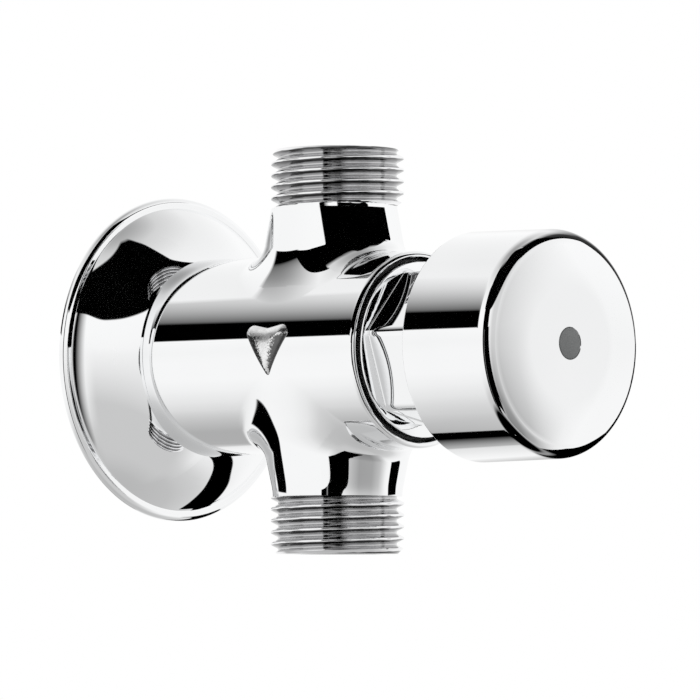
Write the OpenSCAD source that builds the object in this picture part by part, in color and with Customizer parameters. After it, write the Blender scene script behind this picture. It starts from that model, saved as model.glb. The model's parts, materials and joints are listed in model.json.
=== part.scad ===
// Self-closing push-button flush valve for a urinal, exposed on the wall.
// Distances along the main axis are counted from the wall, towards the button.
// Frame: +Z up, wall face at y = 0, button towards -Y, main axis at x = 0, z = 0.

/* [Wall rose] */
// Outer diameter of the rose
rose_d = 52; // [46:0.5:62]
// Height of the rose, which is how far the body stands off the wall
rose_rise = 8; // [6:0.5:10]
// Thickness of the rose sheet
rose_wall = 1; // [0.6:0.1:1.4]
// Width of the narrow band round the rim of the rose
rose_band = 1.4; // [0.8:0.1:2.4]
// Height of that band
rose_band_rise = 1.1; // [0.8:0.1:1.8]
// Slope of the dome where it meets the body, in degrees
rose_top_slope = 20; // [14:1:26]

/* [Body] */
// Diameter of the body at its rear face
body_rear_d = 31.6; // [30.4:0.1:34]
// Diameter of the body just behind its front edge
body_front_d = 30.6; // [30.2:0.1:33]
// Length of the body from rear face to front face
body_len = 46; // [44.5:0.5:50]
// Radius of the front edge
body_nose = 0.65; // [0.3:0.05:0.7]
// Chamfer of the rear edge
body_edge = 0.4; // [0.2:0.1:0.8]
// Diameter of the boss that reaches through the rose to the wall
boss_d = 18; // [15:0.5:22]
// Diameter of the blind hole for the wall stud
stud_hole_d = 6.8; // [5:0.1:8.5]
// Depth of that hole
stud_hole_depth = 8.5; // [6:0.5:9]

/* [Ports] */
// Distance from the body's rear face to the axis of both ports
port_at = 28; // [27:0.5:28.5]
// Height of the inlet's end above the main axis
inlet_reach = 31.95; // [29:0.05:38]
// Distance of the outlet's end below the main axis
outlet_reach = 31.5; // [29:0.05:38]
// Major diameter of the pipe thread
thread_d = 20.955; // [20:0.005:21.5]
// Length of the threaded end, its relief groove included
thread_len = 8.7; // [7:0.1:10]
// Chamfer on the thread's end
thread_chamfer = 1; // [0.5:0.1:1.3]
// Width of the relief groove behind the thread
relief_w = 0.9; // [0.5:0.1:1.5]
// Depth of the relief groove below the thread's crests
relief_depth = 1.15; // [0.8:0.05:1.4]
// Diameter of the neck beside the thread
neck_d = 20.2; // [19.6:0.1:20.6]
// Diameter of the neck where it leaves the body
neck_root_d = 24.2; // [22:0.1:26]
// Bore of each port
port_bore_d = 14; // [12:0.5:15]
// Metal left between a port's bore and the inner chamber
port_floor = 3.5; // [2.5:0.5:4.5]
// Diameter of the drilled way from each port into the chamber
feed_d = 5.4; // [4:0.1:5.4]

/* [Flow arrow] */
// Width of the raised arrow along the body
arrow_w = 8.8; // [6:0.2:12]
// Height of the raised arrow
arrow_h = 7.8; // [6:0.2:11]
// Depth of the notch in its top
arrow_notch = 1.1; // [0.6:0.1:2]
// How far the arrow stands proud of the body
arrow_rise = 0.9; // [0.4:0.1:1.4]
// Height of the arrow's top above the main axis
arrow_top = 4.7; // [2:0.1:6]

/* [Inner chamber] */
// Bore of the inlet chamber and of the land for the cartridge's seal
chamber_d = 21; // [20.4:0.1:22]
// Bore of the outlet chamber
outlet_d = 23.6; // [22.8:0.1:24]
// Distance from the body's front face to the shoulder that the cartridge sits on
shoulder_depth = 9.6; // [9:0.1:10.2]
// Major diameter of the bonnet's thread
bonnet_thread_d = 25; // [24.6:0.1:25.4]
// Depth of the wide counterbore round the bonnet
collar_depth = 2.9; // [2.6:0.1:3.2]
// Open gap round the bonnet in that counterbore
collar_gap = 0.7; // [0.4:0.05:0.75]

/* [Bonnet] */
// Diameter of the bonnet's round rim
bonnet_d = 27.5; // [27:0.1:27.9]
// How far that rim stands past the body's front face
rim_proud = 0.55; // [0.2:0.05:1.2]
// Chamfer round the rim
rim_edge = 0.35; // [0.1:0.05:0.5]
// Size across the flats of the hexagonal neck between rim and button
bonnet_flats = 22; // [21.5:0.1:22.8]
// Height of the angle at which the neck's left corner stands, in degrees
bonnet_turn = 11; // [0:1:59]
// How far the bonnet reaches past the body's front face
bonnet_reach = 15; // [14:0.5:18]
// Thickness of the bonnet's front wall
bonnet_wall = 4.5; // [4.2:0.1:5.5]
// Chamfer on the front of the neck's corners
bonnet_chamfer = 1.2; // [0.6:0.1:1.6]
// Bore that the piston runs in
dashpot_d = 18; // [17.4:0.1:19]
// Section of the ring seal behind the bonnet's neck
bonnet_seal_section = 1.9; // [1.6:0.05:1.9]

/* [Gland] */
// Section of the ring seal round the spindle
gland_seal_section = 1.7; // [1.4:0.1:1.8]
// Length of the bush that closes the gland
bush_len = 1.6; // [1:0.1:1.8]

/* [Cartridge] */
// Outer diameter of the cartridge's tube
tube_d = 16; // [15.4:0.1:16.6]
// Inner diameter of the cartridge's tube
tube_bore_d = 11; // [10.4:0.1:11.6]
// Thickness of the clamped flange and front wall
clamp_t = 1.6; // [1.2:0.1:2]
// Width of the flange that carries the ring seal
seal_flange_w = 2.8; // [2.6:0.1:3]
// Section of that ring seal
cartridge_seal_section = 1.8; // [1.5:0.1:1.9]
// Number of outlet windows
window_count = 4; // [3:1:5]
// Width of each window
window_w = 5; // [3:0.1:5.5]
// Distance from the port axis back to the seat
seat_back = 9; // [8:0.5:9.5]
// Bore of the seat
seat_bore_d = 10; // [9.6:0.1:10.4]
// Width of the raised seating lip
seat_lip_w = 0.9; // [0.6:0.1:1.2]
// Height of that lip
seat_lip_h = 1; // [0.6:0.1:1.4]
// Depth of the seat ring in the tube
seat_depth = 3; // [2:0.1:4]

/* [Plunger] */
// Travel of the button
stroke = 7; // [5:0.5:7.5]
// Diameter of the spindle's middle
spindle_d = 6; // [5.6:0.1:6.4]
// Diameter of the spindle's threaded ends
spindle_end_d = 5; // [4.6:0.1:5.2]
// Diameter of the collar in front of the valve washer
collar_d = 8.4; // [7.4:0.1:9]
// Thickness of that collar
collar_t = 1.2; // [0.8:0.1:2]
// Diameter of the valve washer
washer_d = 13.8; // [13.2:0.1:14.4]
// Thickness of the valve washer
washer_t = 2.2; // [1.6:0.1:3]
// Wall of the cup round the washer
holder_wall = 0.65; // [0.4:0.05:1]
// Thickness of the cup's back
holder_back = 2.2; // [1.5:0.1:3]
// Size across the flats of the two spindle nuts
nut_flats = 7; // [6.6:0.1:7.2]
// Thickness of the rear nut
holder_nut_h = 3.2; // [2.4:0.1:3.6]
// Thickness of the front nut
piston_nut_h = 2.4; // [1.6:0.1:2.8]
// Length of the piston
piston_len = 6.4; // [6:0.1:7]
// Thickness of the piston's web
piston_web = 1.6; // [1.2:0.1:2]
// Diameter of the piston's hub
hub_d = 8.6; // [7.8:0.1:8.8]
// Depth of the groove for the lip seal
lip_groove = 0.9; // [0.6:0.1:1]
// Length of the groove for the lip seal
lip_len = 3; // [2.4:0.1:3.4]
// Diameter of the timing needle
needle_d = 0.9; // [0.6:0.05:0.9]
// Distance from the main axis to the needle
needle_at = 5.1; // [5:0.05:5.2]

/* [Return spring] */
// Wire diameter of the return spring
wire_d = 1; // [0.7:0.05:1.1]
// Mean diameter of the return spring
spring_d = 12.6; // [12.4:0.1:12.7]
// Number of turns
spring_turns = 4.5; // [3:0.5:5]

/* [Button] */
// Diameter of the button at its open rear edge
button_rear_d = 35.4; // [34:0.1:38]
// Diameter of the button at its front
button_front_d = 34.9; // [33.5:0.1:38]
// Length of the button from its rear edge to the middle of its face
button_len = 18.3; // [16.5:0.1:24]
// Length of the bonnet's neck that the button's skirt covers
skirt_cover = 2.2; // [1:0.1:5]
// Thickness of the skirt
skirt_wall = 2; // [1.2:0.1:2.6]
// Thickness of the button's front
button_face = 4.5; // [3.8:0.1:5]
// Radius of the edge between side and face
button_round = 2.2; // [1:0.1:3]
// Diameter of the flat middle of the face
face_flat_d = 17.7; // [12:0.1:22]
// How far the face falls from its flat middle to the rounded edge
face_fall = 0.9; // [0.3:0.1:1.5]
// Diameter of the boss that takes the spindle
button_boss_d = 12; // [9:0.1:14]
// Diameter of the lock screw
lock_d = 4; // [3:0.1:4.4]
// Length of the lock screw
lock_len = 2.3; // [1.8:0.1:3]
// Diameter of the round plug in the face
plug_d = 4.78; // [4.5:0.02:6]
// Length of the plug
plug_len = 1.8; // [1:0.1:2]
// How far the plug stands proud of the face
plug_proud = 0.12; // [0:0.02:0.3]

/* [Clearances] */
// Radial play of the spindle in its guide and bush
run_gap = 0.05; // [0.02:0.01:0.08]
// Radial play between a moving part and its seal
seal_gap = 0.03; // [0.01:0.01:0.08]
// Radial play of pieces that are fixed together
fixed_gap = 0.03; // [0.01:0.01:0.06]
// Space between the washer and the seat at rest
seat_gap = 0.05; // [0.02:0.01:0.1]
// Space between the button's boss and the bonnet when fully pressed
stop_gap = 0.3; // [0.1:0.1:0.6]
// Space between the front nut and the bonnet's wall at rest
rest_gap = 0.5; // [0.3:0.1:1]
// Space behind the spindle when fully pressed
tail_gap = 0.6; // [0.3:0.1:1]
// Radial space round the needle in the piston
orifice_gap = 0.1; // [0.05:0.01:0.12]
// Radial space round the spring in the piston
spring_gap = 0.3; // [0.2:0.05:0.35]
// Radial space between the piston and its bore
piston_gap = 0.4; // [0.2:0.05:0.5]

/* [Hidden] */
$fn = 96;
// Overshoot of a cutting tool past the face that it cuts
past = 1;

// Places along the main axis, counted from the wall
body_rear = rose_rise;
body_front = body_rear + body_len;
port_axis = body_rear + port_at;
shoulder = body_front - shoulder_depth;
clamp_front = shoulder + clamp_t;
collar_floor = body_front - collar_depth;
rim_front = body_front + rim_proud;
bonnet_front = body_front + bonnet_reach;
bonnet_inside = bonnet_front - bonnet_wall;
seat = port_axis - seat_back;
piston_nut_front = bonnet_inside - rest_gap;
piston_front = piston_nut_front - piston_nut_h;
piston_web_rear = piston_front - piston_web;
piston_rear = piston_front - piston_len;
washer_front = seat;
washer_rear = washer_front - washer_t;
holder_rear = washer_rear - holder_back;
holder_nut_rear = holder_rear - holder_nut_h;
thread_past_nut = 0.6;
spindle_tail = holder_nut_rear - thread_past_nut;
chamber_rear = spindle_tail - stroke - tail_gap;
boss_rear = bonnet_front + stroke + stop_gap;
button_rear = bonnet_front - skirt_cover;
button_front = button_rear + button_len;
button_inside = button_front - button_face;
plug_rear = button_front + plug_proud - plug_len;
lock_rear = plug_rear - fixed_gap - lock_len;

// Radii
body_rear_r = body_rear_d / 2;
body_front_r = body_front_d / 2;
boss_r = boss_d / 2;
thread_r = thread_d / 2;
neck_r = neck_d / 2;
neck_root_r = neck_root_d / 2;
chamber_r = chamber_d / 2;
bonnet_r = bonnet_d / 2;
// The neck's corners are turned down a little
corner_turned = 0.25;
corner_r = bonnet_flats / 2 / cos(30) - corner_turned;
bonnet_thread_r = bonnet_thread_d / 2;
collar_bore_r = bonnet_r + collar_gap;
dashpot_r = dashpot_d / 2;
tube_r = tube_d / 2;
tube_bore_r = tube_bore_d / 2;
clamp_play = 0.1;
clamp_r = bonnet_thread_r - clamp_play;
flange_play = 0.2;
seal_flange_r = chamber_r - flange_play;
tube_lip = 1.1;
seat_ring_r = tube_r - tube_lip;
spindle_r = spindle_d / 2;
spindle_end_r = spindle_end_d / 2;
gland_r = spindle_end_r + run_gap;
gland_pocket_r = spindle_end_r + seal_gap + gland_seal_section + fixed_gap;
gland_pocket_rear = bonnet_front - bush_len - gland_seal_section - 2 * fixed_gap;
needle_r = needle_d / 2;
needle_spare = 1;
needle_tip = piston_web_rear - stroke - needle_spare;
needle_hold = 2.2;
needle_root = bonnet_inside + needle_hold;
wire_r = wire_d / 2;
spring_r = spring_d / 2;
piston_r = dashpot_r - piston_gap;
hub_r = hub_d / 2;
step_back = 3.6;
piston_step = piston_front - step_back;
recess_out_r = spring_r + wire_r + spring_gap;
lip_land = 1;
lip_rear = piston_rear + lip_land;
lip_front = lip_rear + lip_len;
lip_root_r = piston_r - lip_groove;

// Ports, counted up and down from the main axis
relief_r = thread_r - relief_depth;
port_bore_r = port_bore_d / 2;
port_bore_floor = chamber_r + port_floor;
feed_offset = (seal_flange_w + feed_d) / 2 + 0.1;
neck_root_z = 14.6;
// Straight end of the neck, and how far its cone is hollowed half way down
neck_straight = 1.8;
neck_hollow_r = 0.25;
neck_hollow_z = 0.6;

// Dome of the rose: an arc that leaves the body's edge at the chosen slope
rose_r = rose_d / 2;
rose_foot_r = rose_r - rose_band;
rose_top_r = body_rear_r - body_edge - 0.2;
dome_run = rose_foot_r - rose_top_r;
dome_drop = rose_rise - rose_band_rise;
dome_chord = sqrt(dome_run * dome_run + dome_drop * dome_drop);
dome_slope = atan2(dome_drop, dome_run);
dome_sweep = 2 * (dome_slope - rose_top_slope);
dome_r = dome_chord / (2 * sin(dome_sweep / 2));
dome_centre = [
    rose_top_r - dome_r * sin(rose_top_slope),
    rose_rise - dome_r * cos(rose_top_slope)
];

// Colours
chrome = [0.80, 0.82, 0.84];
bright_brass = [0.80, 0.66, 0.32];
steel = [0.66, 0.68, 0.70];
acetal = [0.90, 0.89, 0.84];
black_rubber = [0.12, 0.12, 0.12];
grey_plastic = [0.43, 0.44, 0.44];

// Points of an arc round a centre, with both ends
function arc(centre, r, from, to, steps = 8) = [
    for (i = [0 : steps])
        let (a = from + (to - from) * i / steps)
            [centre[0] + r * cos(a), centre[1] + r * sin(a)]
];

// Puts a shape whose z is the distance from the wall on the main axis
module on_axis() {
    rotate([90, 0, 0]) children();
}

// Turns an outline of [radius, distance from the wall] points about the main axis
module turned(outline) {
    on_axis() rotate_extrude() polygon(outline);
}

// Round bar on the main axis
module bar(r, from, to) {
    on_axis() translate([0, 0, from]) cylinder(h = to - from, r = r);
}

// Plain ring on the main axis
module ring(r_in, r_out, from, to) {
    turned([[r_in, from], [r_out, from], [r_out, to], [r_in, to]]);
}

// Ring seal of round section on the main axis
module ring_seal(mean_r, section, middle) {
    on_axis() translate([0, 0, middle]) rotate_extrude()
        translate([mean_r, 0]) circle(d = section);
}

// Nut on the main axis
module hex_nut(bore_r, flats, from, to) {
    on_axis() difference() {
        translate([0, 0, from]) cylinder(h = to - from, d = flats / cos(30), $fn = 6);
        translate([0, 0, from - past]) cylinder(h = to - from + 2 * past, r = bore_r);
    }
}

// Outside of one port, standing on the main axis
module port_outside(port_end) {
    thread_foot = port_end - thread_len;
    rotate_extrude() polygon([
        [0, 0],
        [neck_root_r, 0],
        [neck_root_r, neck_root_z],
        [
            (neck_root_r + neck_r) / 2 - neck_hollow_r,
            (neck_root_z + thread_foot) / 2 - neck_hollow_z
        ],
        [neck_r, thread_foot - neck_straight],
        [neck_r, thread_foot],
        [relief_r, thread_foot],
        [relief_r, thread_foot + relief_w],
        [thread_r, thread_foot + relief_w + relief_depth],
        [thread_r, port_end - thread_chamfer],
        [thread_r - thread_chamfer, port_end],
        [0, port_end]
    ]);
}

// Bore of one port and its drilled way into the chamber
module port_inside(port_end, feed_shift) {
    translate([0, 0, port_bore_floor])
        cylinder(h = port_end - port_bore_floor + past, r = port_bore_r);
    translate([0, feed_shift, chamber_r / 2])
        cylinder(h = port_bore_floor - chamber_r / 2 + past, d = feed_d);
}

// Raised arrow on the left side of the body, pointing down the flow
module flow_arrow() {
    half = arrow_w / 2;
    low = arrow_top - arrow_h;
    tip_half = 0.5;
    tip_rise = 0.3;
    // Right half of the outline, from beside the notch round the lobe to beside the tip
    lobe = [
        [0.62 * half, arrow_top],
        [0.84 * half, arrow_top - 0.1],
        [half, arrow_top - 0.8],
        [0.96 * half, arrow_top - 1.7],
        [tip_half, low + tip_rise]
    ];
    outline = concat(
        [[0, arrow_top - arrow_notch]],
        lobe,
        [[0, low]],
        [for (i = [len(lobe) - 1 : -1 : 0]) [-lobe[i][0], lobe[i][1]]]
    );
    intersection() {
        translate([0, -port_axis, 0]) rotate([90, 0, -90])
            linear_extrude(height = body_rear_r + 2 * arrow_rise) polygon(outline);
        bar(body_rear_r + arrow_rise, port_axis - arrow_w, port_axis + arrow_w);
    }
}

module valve_body() {
    color(chrome) difference() {
        union() {
            turned(concat(
                [[0, body_rear], [body_rear_r - body_edge, body_rear], [body_rear_r, body_rear + body_edge]],
                arc([body_front_r - body_nose, body_front - body_nose], body_nose, 0, 90, 5),
                [[0, body_front]]
            ));
            bar(boss_r, 0, body_rear + past);
            translate([0, -port_axis, 0]) port_outside(inlet_reach);
            translate([0, -port_axis, 0]) mirror([0, 0, 1]) port_outside(outlet_reach);
            flow_arrow();
        }
        bar(chamber_r, chamber_rear, port_axis + seal_flange_w / 2);
        bar(outlet_d / 2, port_axis + seal_flange_w / 2, shoulder);
        bar(bonnet_thread_r + fixed_gap, shoulder, collar_floor);
        bar(collar_bore_r, collar_floor, body_front + past);
        translate([0, -port_axis, 0]) port_inside(inlet_reach, feed_offset);
        translate([0, -port_axis, 0]) mirror([0, 0, 1]) port_inside(outlet_reach, -feed_offset);
        bar(stud_hole_d / 2, -past, stud_hole_depth);
    }
}

module wall_rose() {
    hole_r = boss_r + 0.2;
    inner_r = dome_r - rose_wall;
    foot_angle = 90 - rose_top_slope - dome_sweep;
    color(chrome) turned(concat(
        [[hole_r, rose_rise - rose_wall], [hole_r, rose_rise]],
        arc(dome_centre, dome_r, 90 - rose_top_slope, foot_angle, 12),
        [
            [rose_foot_r + 0.1, rose_band_rise - 0.25],
            [rose_foot_r + 0.3, rose_band_rise - 0.1],
            [rose_r - 0.35, rose_band_rise - 0.2],
            [rose_r, rose_band_rise - 0.6],
            [rose_r, 0],
            [rose_r - rose_wall, 0]
        ],
        arc(dome_centre, inner_r, foot_angle, 90 - rose_top_slope, 12)
    ));
}

// Hexagonal neck of the bonnet, with turned corners
module bonnet_neck() {
    intersection() {
        on_axis() translate([0, 0, rim_front - past]) rotate([0, 0, -bonnet_turn])
            cylinder(h = bonnet_front - rim_front + past, d = bonnet_flats / cos(30), $fn = 6);
        turned([
            [0, rim_front - past],
            [corner_r, rim_front - past],
            [corner_r, bonnet_front - bonnet_chamfer / 2],
            [corner_r - bonnet_chamfer, bonnet_front],
            [0, bonnet_front]
        ]);
    }
}

module bonnet() {
    thread_lead = 0.6;
    seal_seat = collar_floor + bonnet_seal_section + 2 * fixed_gap;
    color(chrome) difference() {
        union() {
            turned([
                [0, clamp_front],
                [bonnet_thread_r - thread_lead, clamp_front],
                [bonnet_thread_r, clamp_front + thread_lead],
                [bonnet_thread_r, seal_seat],
                [bonnet_r, seal_seat],
                [bonnet_r, rim_front - rim_edge],
                [bonnet_r - rim_edge, rim_front],
                [0, rim_front]
            ]);
            bonnet_neck();
        }
        bar(dashpot_r, clamp_front - past, bonnet_inside);
        bar(spindle_end_r + 0.3, bonnet_inside - past, gland_pocket_rear + past);
        bar(gland_pocket_r, gland_pocket_rear, bonnet_front + past);
        on_axis() translate([needle_at, 0, bonnet_inside - past])
            cylinder(h = needle_root - bonnet_inside + past, r = needle_r + fixed_gap / 2);
    }
}

module bonnet_seal() {
    color(black_rubber) ring_seal(
        bonnet_thread_r + fixed_gap / 2 + bonnet_seal_section / 2,
        bonnet_seal_section,
        collar_floor + fixed_gap + bonnet_seal_section / 2
    );
}

module cartridge_body() {
    tube_rear = seat + seat_lip_h;
    flange_rear = port_axis - seal_flange_w / 2;
    flange_front = port_axis + seal_flange_w / 2;
    groove_w = cartridge_seal_section + 2 * fixed_gap;
    groove_r = chamber_r - cartridge_seal_section - 2 * fixed_gap;
    window_rear = flange_front + 0.8;
    window_len = shoulder - 0.9 - window_rear;
    vent_r = 0.7;
    color(acetal) difference() {
        turned([
            [0, tube_rear],
            [tube_r - 0.3, tube_rear],
            [tube_r, tube_rear + 0.3],
            [tube_r, flange_rear],
            [seal_flange_r, flange_rear],
            [seal_flange_r, port_axis - groove_w / 2],
            [groove_r, port_axis - groove_w / 2],
            [groove_r, port_axis + groove_w / 2],
            [seal_flange_r, port_axis + groove_w / 2],
            [seal_flange_r, flange_front],
            [tube_r, flange_front],
            [tube_r, shoulder],
            [clamp_r, shoulder],
            [clamp_r, clamp_front],
            [0, clamp_front]
        ]);
        bar(seat_ring_r + fixed_gap, tube_rear - past, seat + seat_lip_h + seat_depth);
        bar(tube_bore_r, tube_rear + past, shoulder);
        bar(spindle_r + run_gap, shoulder - past, clamp_front + past);
        for (i = [0 : window_count - 1])
            on_axis() rotate([0, 0, 360 / window_count * (i + 0.5)])
                translate([0, -window_w / 2, window_rear]) cube([tube_r + past, window_w, window_len]);
        for (i = [0 : 2])
            on_axis() rotate([0, 0, 120 * i + 60])
                translate([(spindle_r + tube_bore_r) / 2, 0, shoulder - past])
                    cylinder(h = clamp_t + 2 * past, r = vent_r);
    }
}

module cartridge_seal() {
    color(black_rubber) ring_seal(
        chamber_r - fixed_gap - cartridge_seal_section / 2, cartridge_seal_section, port_axis
    );
}

module seat_ring() {
    bore_r = seat_bore_d / 2;
    foot = seat + seat_lip_h;
    color(steel) turned([
        [bore_r, seat + seat_gap],
        [bore_r + seat_lip_w * 0.7, seat + seat_gap],
        [bore_r + seat_lip_w, seat + seat_gap + 0.3],
        [bore_r + seat_lip_w, foot],
        [seat_ring_r, foot],
        [seat_ring_r, foot + seat_depth - fixed_gap],
        [bore_r, foot + seat_depth - fixed_gap]
    ]);
}

module gland_seal() {
    color(black_rubber) ring_seal(
        spindle_end_r + seal_gap + gland_seal_section / 2,
        gland_seal_section,
        gland_pocket_rear + fixed_gap + gland_seal_section / 2
    );
}

module gland_bush() {
    lead = 0.3;
    rear = bonnet_front - bush_len;
    bush_r = gland_pocket_r - fixed_gap / 2;
    color(acetal) turned([
        [gland_r, rear],
        [bush_r, rear],
        [bush_r, bonnet_front],
        [gland_r + lead, bonnet_front],
        [gland_r, bonnet_front - lead]
    ]);
}

module timing_needle() {
    tip = 0.8;
    color(steel) on_axis() translate([needle_at, 0, 0]) rotate_extrude() polygon([
        [0, needle_tip],
        [needle_r / 3, needle_tip],
        [needle_r, needle_tip + tip],
        [needle_r, needle_root],
        [0, needle_root]
    ]);
}

// Centre line of the return spring, a plain helix between cartridge and piston
spring_rear = clamp_front + wire_r + fixed_gap;
spring_front = piston_web_rear - wire_r - fixed_gap;
spring_turn_rings = 20;
spring_sides = 8;
spring_rings = ceil(spring_turns * spring_turn_rings);
function spring_point(i, across = 0, along = 0) =
    let (
        a = 360 * spring_turns * i / spring_rings,
        z = spring_rear + (spring_front - spring_rear) * i / spring_rings
    )
        [(spring_r + across) * cos(a), (spring_r + across) * sin(a), z + along];
spring_points = [
    for (i = [0 : spring_rings], k = [0 : spring_sides - 1])
        let (b = 360 * k / spring_sides)
            spring_point(i, wire_r * cos(b), wire_r * sin(b))
];
spring_faces = concat(
    [[for (k = [0 : spring_sides - 1]) k]],
    [
        for (i = [0 : spring_rings - 1], k = [0 : spring_sides - 1])
            let (a = i * spring_sides + k, b = i * spring_sides + (k + 1) % spring_sides)
                each [[a, a + spring_sides, b + spring_sides], [a, b + spring_sides, b]]
    ],
    [[for (k = [spring_sides - 1 : -1 : 0]) spring_rings * spring_sides + k]]
);
spring_self_gap = min([
    for (i = [0 : spring_rings], j = [i + spring_turn_rings / 2 : spring_rings])
        norm(spring_point(i) - spring_point(j)) - wire_d
]);

module return_spring() {
    echo(least_gap_between_turns = spring_self_gap);
    color(steel) on_axis() polyhedron(points = spring_points, faces = spring_faces, convexity = 8);
}

module spindle() {
    tip = 0.5;
    color(bright_brass) turned([
        [0, spindle_tail],
        [spindle_end_r - tip, spindle_tail],
        [spindle_end_r, spindle_tail + tip],
        [spindle_end_r, seat],
        [collar_d / 2, seat],
        [collar_d / 2, seat + collar_t],
        [spindle_r, seat + collar_t],
        [spindle_r, piston_step],
        [spindle_end_r, piston_step],
        [spindle_end_r, lock_rear - fixed_gap - tip],
        [spindle_end_r - tip, lock_rear - fixed_gap],
        [0, lock_rear - fixed_gap]
    ]);
}

module holder_nut() {
    color(steel) hex_nut(spindle_end_r + fixed_gap, nut_flats, holder_nut_rear, holder_rear);
}

module valve_holder() {
    cup_r = washer_d / 2 + fixed_gap;
    rim_front = washer_front - washer_t / 3;
    bore_r = spindle_end_r + fixed_gap;
    color(bright_brass) turned([
        [bore_r, holder_rear],
        [cup_r + holder_wall - 0.5, holder_rear],
        [cup_r + holder_wall, holder_rear + 0.5],
        [cup_r + holder_wall, rim_front],
        [cup_r, rim_front],
        [cup_r, washer_rear],
        [bore_r, washer_rear]
    ]);
}

module valve_washer() {
    color(black_rubber) ring(spindle_end_r + fixed_gap, washer_d / 2, washer_rear, washer_front);
}

module piston() {
    color(acetal) difference() {
        turned([
            [0, piston_rear],
            [piston_r - 0.4, piston_rear],
            [piston_r, piston_rear + 0.4],
            [piston_r, lip_rear],
            [lip_root_r, lip_rear],
            [lip_root_r, lip_front],
            [piston_r, lip_front],
            [piston_r, piston_front - 0.5],
            [piston_r - 0.5, piston_front],
            [0, piston_front]
        ]);
        ring(hub_r, recess_out_r, piston_rear - past, piston_web_rear);
        bar(spindle_r + fixed_gap, piston_rear - past, piston_step);
        bar(spindle_end_r + fixed_gap, piston_step - past, piston_front + past);
        on_axis() translate([needle_at, 0, piston_web_rear - past])
            cylinder(h = piston_web + 2 * past, r = needle_r + orifice_gap);
    }
}

module lip_seal() {
    inner_r = lip_root_r + fixed_gap;
    back_r = piston_r + 0.1;
    lip_r = dashpot_r - run_gap;
    root = lip_front - lip_len * 0.45;
    thick = 0.45;
    color(black_rubber) turned([
        [inner_r, lip_rear + fixed_gap],
        [inner_r + thick, lip_rear + fixed_gap],
        [(inner_r + back_r) / 2, root],
        [lip_r - thick / 2, lip_rear + fixed_gap],
        [lip_r, lip_rear + fixed_gap + 0.2],
        [back_r, root + 0.3],
        [back_r, lip_front - fixed_gap],
        [inner_r, lip_front - fixed_gap]
    ]);
}

module piston_nut() {
    color(steel) hex_nut(spindle_end_r + fixed_gap, nut_flats, piston_front, piston_nut_front);
}

module push_button() {
    rear_r = button_rear_d / 2;
    front_r = button_front_d / 2;
    edge = 0.3;
    shoulder_r = front_r - button_round;
    shoulder_at = button_front - face_fall;
    lead = 0.4;
    color(chrome) difference() {
        union() {
            difference() {
                turned(concat(
                    [[0, button_rear], [rear_r - edge, button_rear], [rear_r, button_rear + edge]],
                    arc([shoulder_r, shoulder_at - button_round], button_round, 0, 85, 8),
                    [[face_flat_d / 2, button_front], [0, button_front]]
                ));
                turned([
                    [0, button_rear - past],
                    [rear_r - skirt_wall + lead, button_rear - past],
                    [rear_r - skirt_wall + lead, button_rear],
                    [rear_r - skirt_wall, button_rear + lead],
                    [front_r - skirt_wall, button_inside - 1],
                    [front_r - skirt_wall - 1, button_inside],
                    [0, button_inside]
                ]);
            }
            bar(button_boss_d / 2, boss_rear, button_inside + past);
        }
        bar(spindle_end_r + fixed_gap, boss_rear - past, lock_rear);
        bar(lock_d / 2 + fixed_gap, lock_rear - past, plug_rear);
        bar(plug_d / 2 + fixed_gap, plug_rear, button_front + past);
    }
}

module button_lock_screw() {
    socket_flats = 2;
    socket_depth = 1.2;
    front = plug_rear - fixed_gap;
    color(steel) difference() {
        bar(lock_d / 2, lock_rear, front);
        on_axis() translate([0, 0, front - socket_depth])
            cylinder(h = socket_depth + past, d = socket_flats / cos(30), $fn = 6);
    }
}

module button_plug() {
    crown = 0.2;
    front = button_front + plug_proud;
    plug_r = plug_d / 2;
    color(grey_plastic) turned([
        [0, plug_rear],
        [plug_r, plug_rear],
        [plug_r, front - crown],
        [plug_r - crown, front - crown / 3],
        [plug_r / 2, front],
        [0, front]
    ]);
}

valve_body();
wall_rose();
bonnet();
bonnet_seal();
cartridge_body();
cartridge_seal();
seat_ring();
gland_seal();
gland_bush();
timing_needle();
return_spring();
spindle();
holder_nut();
valve_holder();
valve_washer();
piston();
lip_seal();
piston_nut();
push_button();
button_lock_screw();
button_plug();
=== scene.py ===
# Looks of a self-closing urinal flush valve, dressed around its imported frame.
# Outlines and sizes are in millimetres and become metres as they turn into meshes.
# The main axis is x = 0, z = 0, and a distance D from the wall lies at y = -D.
import json
import math

import bmesh
import bpy
import numpy as np
from mathutils import Matrix, Vector

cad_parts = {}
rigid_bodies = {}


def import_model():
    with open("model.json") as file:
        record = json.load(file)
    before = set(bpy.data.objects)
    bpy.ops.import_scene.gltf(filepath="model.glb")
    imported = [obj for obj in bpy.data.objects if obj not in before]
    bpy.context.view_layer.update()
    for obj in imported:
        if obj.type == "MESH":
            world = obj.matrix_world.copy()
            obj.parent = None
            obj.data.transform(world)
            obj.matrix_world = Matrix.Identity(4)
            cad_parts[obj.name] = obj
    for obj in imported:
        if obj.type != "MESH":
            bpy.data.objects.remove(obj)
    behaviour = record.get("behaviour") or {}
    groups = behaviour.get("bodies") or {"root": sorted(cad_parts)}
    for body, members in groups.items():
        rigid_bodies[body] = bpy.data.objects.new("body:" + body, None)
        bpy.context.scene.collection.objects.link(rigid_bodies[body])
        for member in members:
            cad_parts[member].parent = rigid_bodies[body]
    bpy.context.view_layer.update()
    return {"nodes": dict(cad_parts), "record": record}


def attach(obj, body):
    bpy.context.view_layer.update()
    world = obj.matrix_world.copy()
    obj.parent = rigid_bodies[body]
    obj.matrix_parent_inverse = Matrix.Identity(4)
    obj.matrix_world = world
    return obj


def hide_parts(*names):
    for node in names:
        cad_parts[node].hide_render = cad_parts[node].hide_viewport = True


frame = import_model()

MM = 0.001

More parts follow.
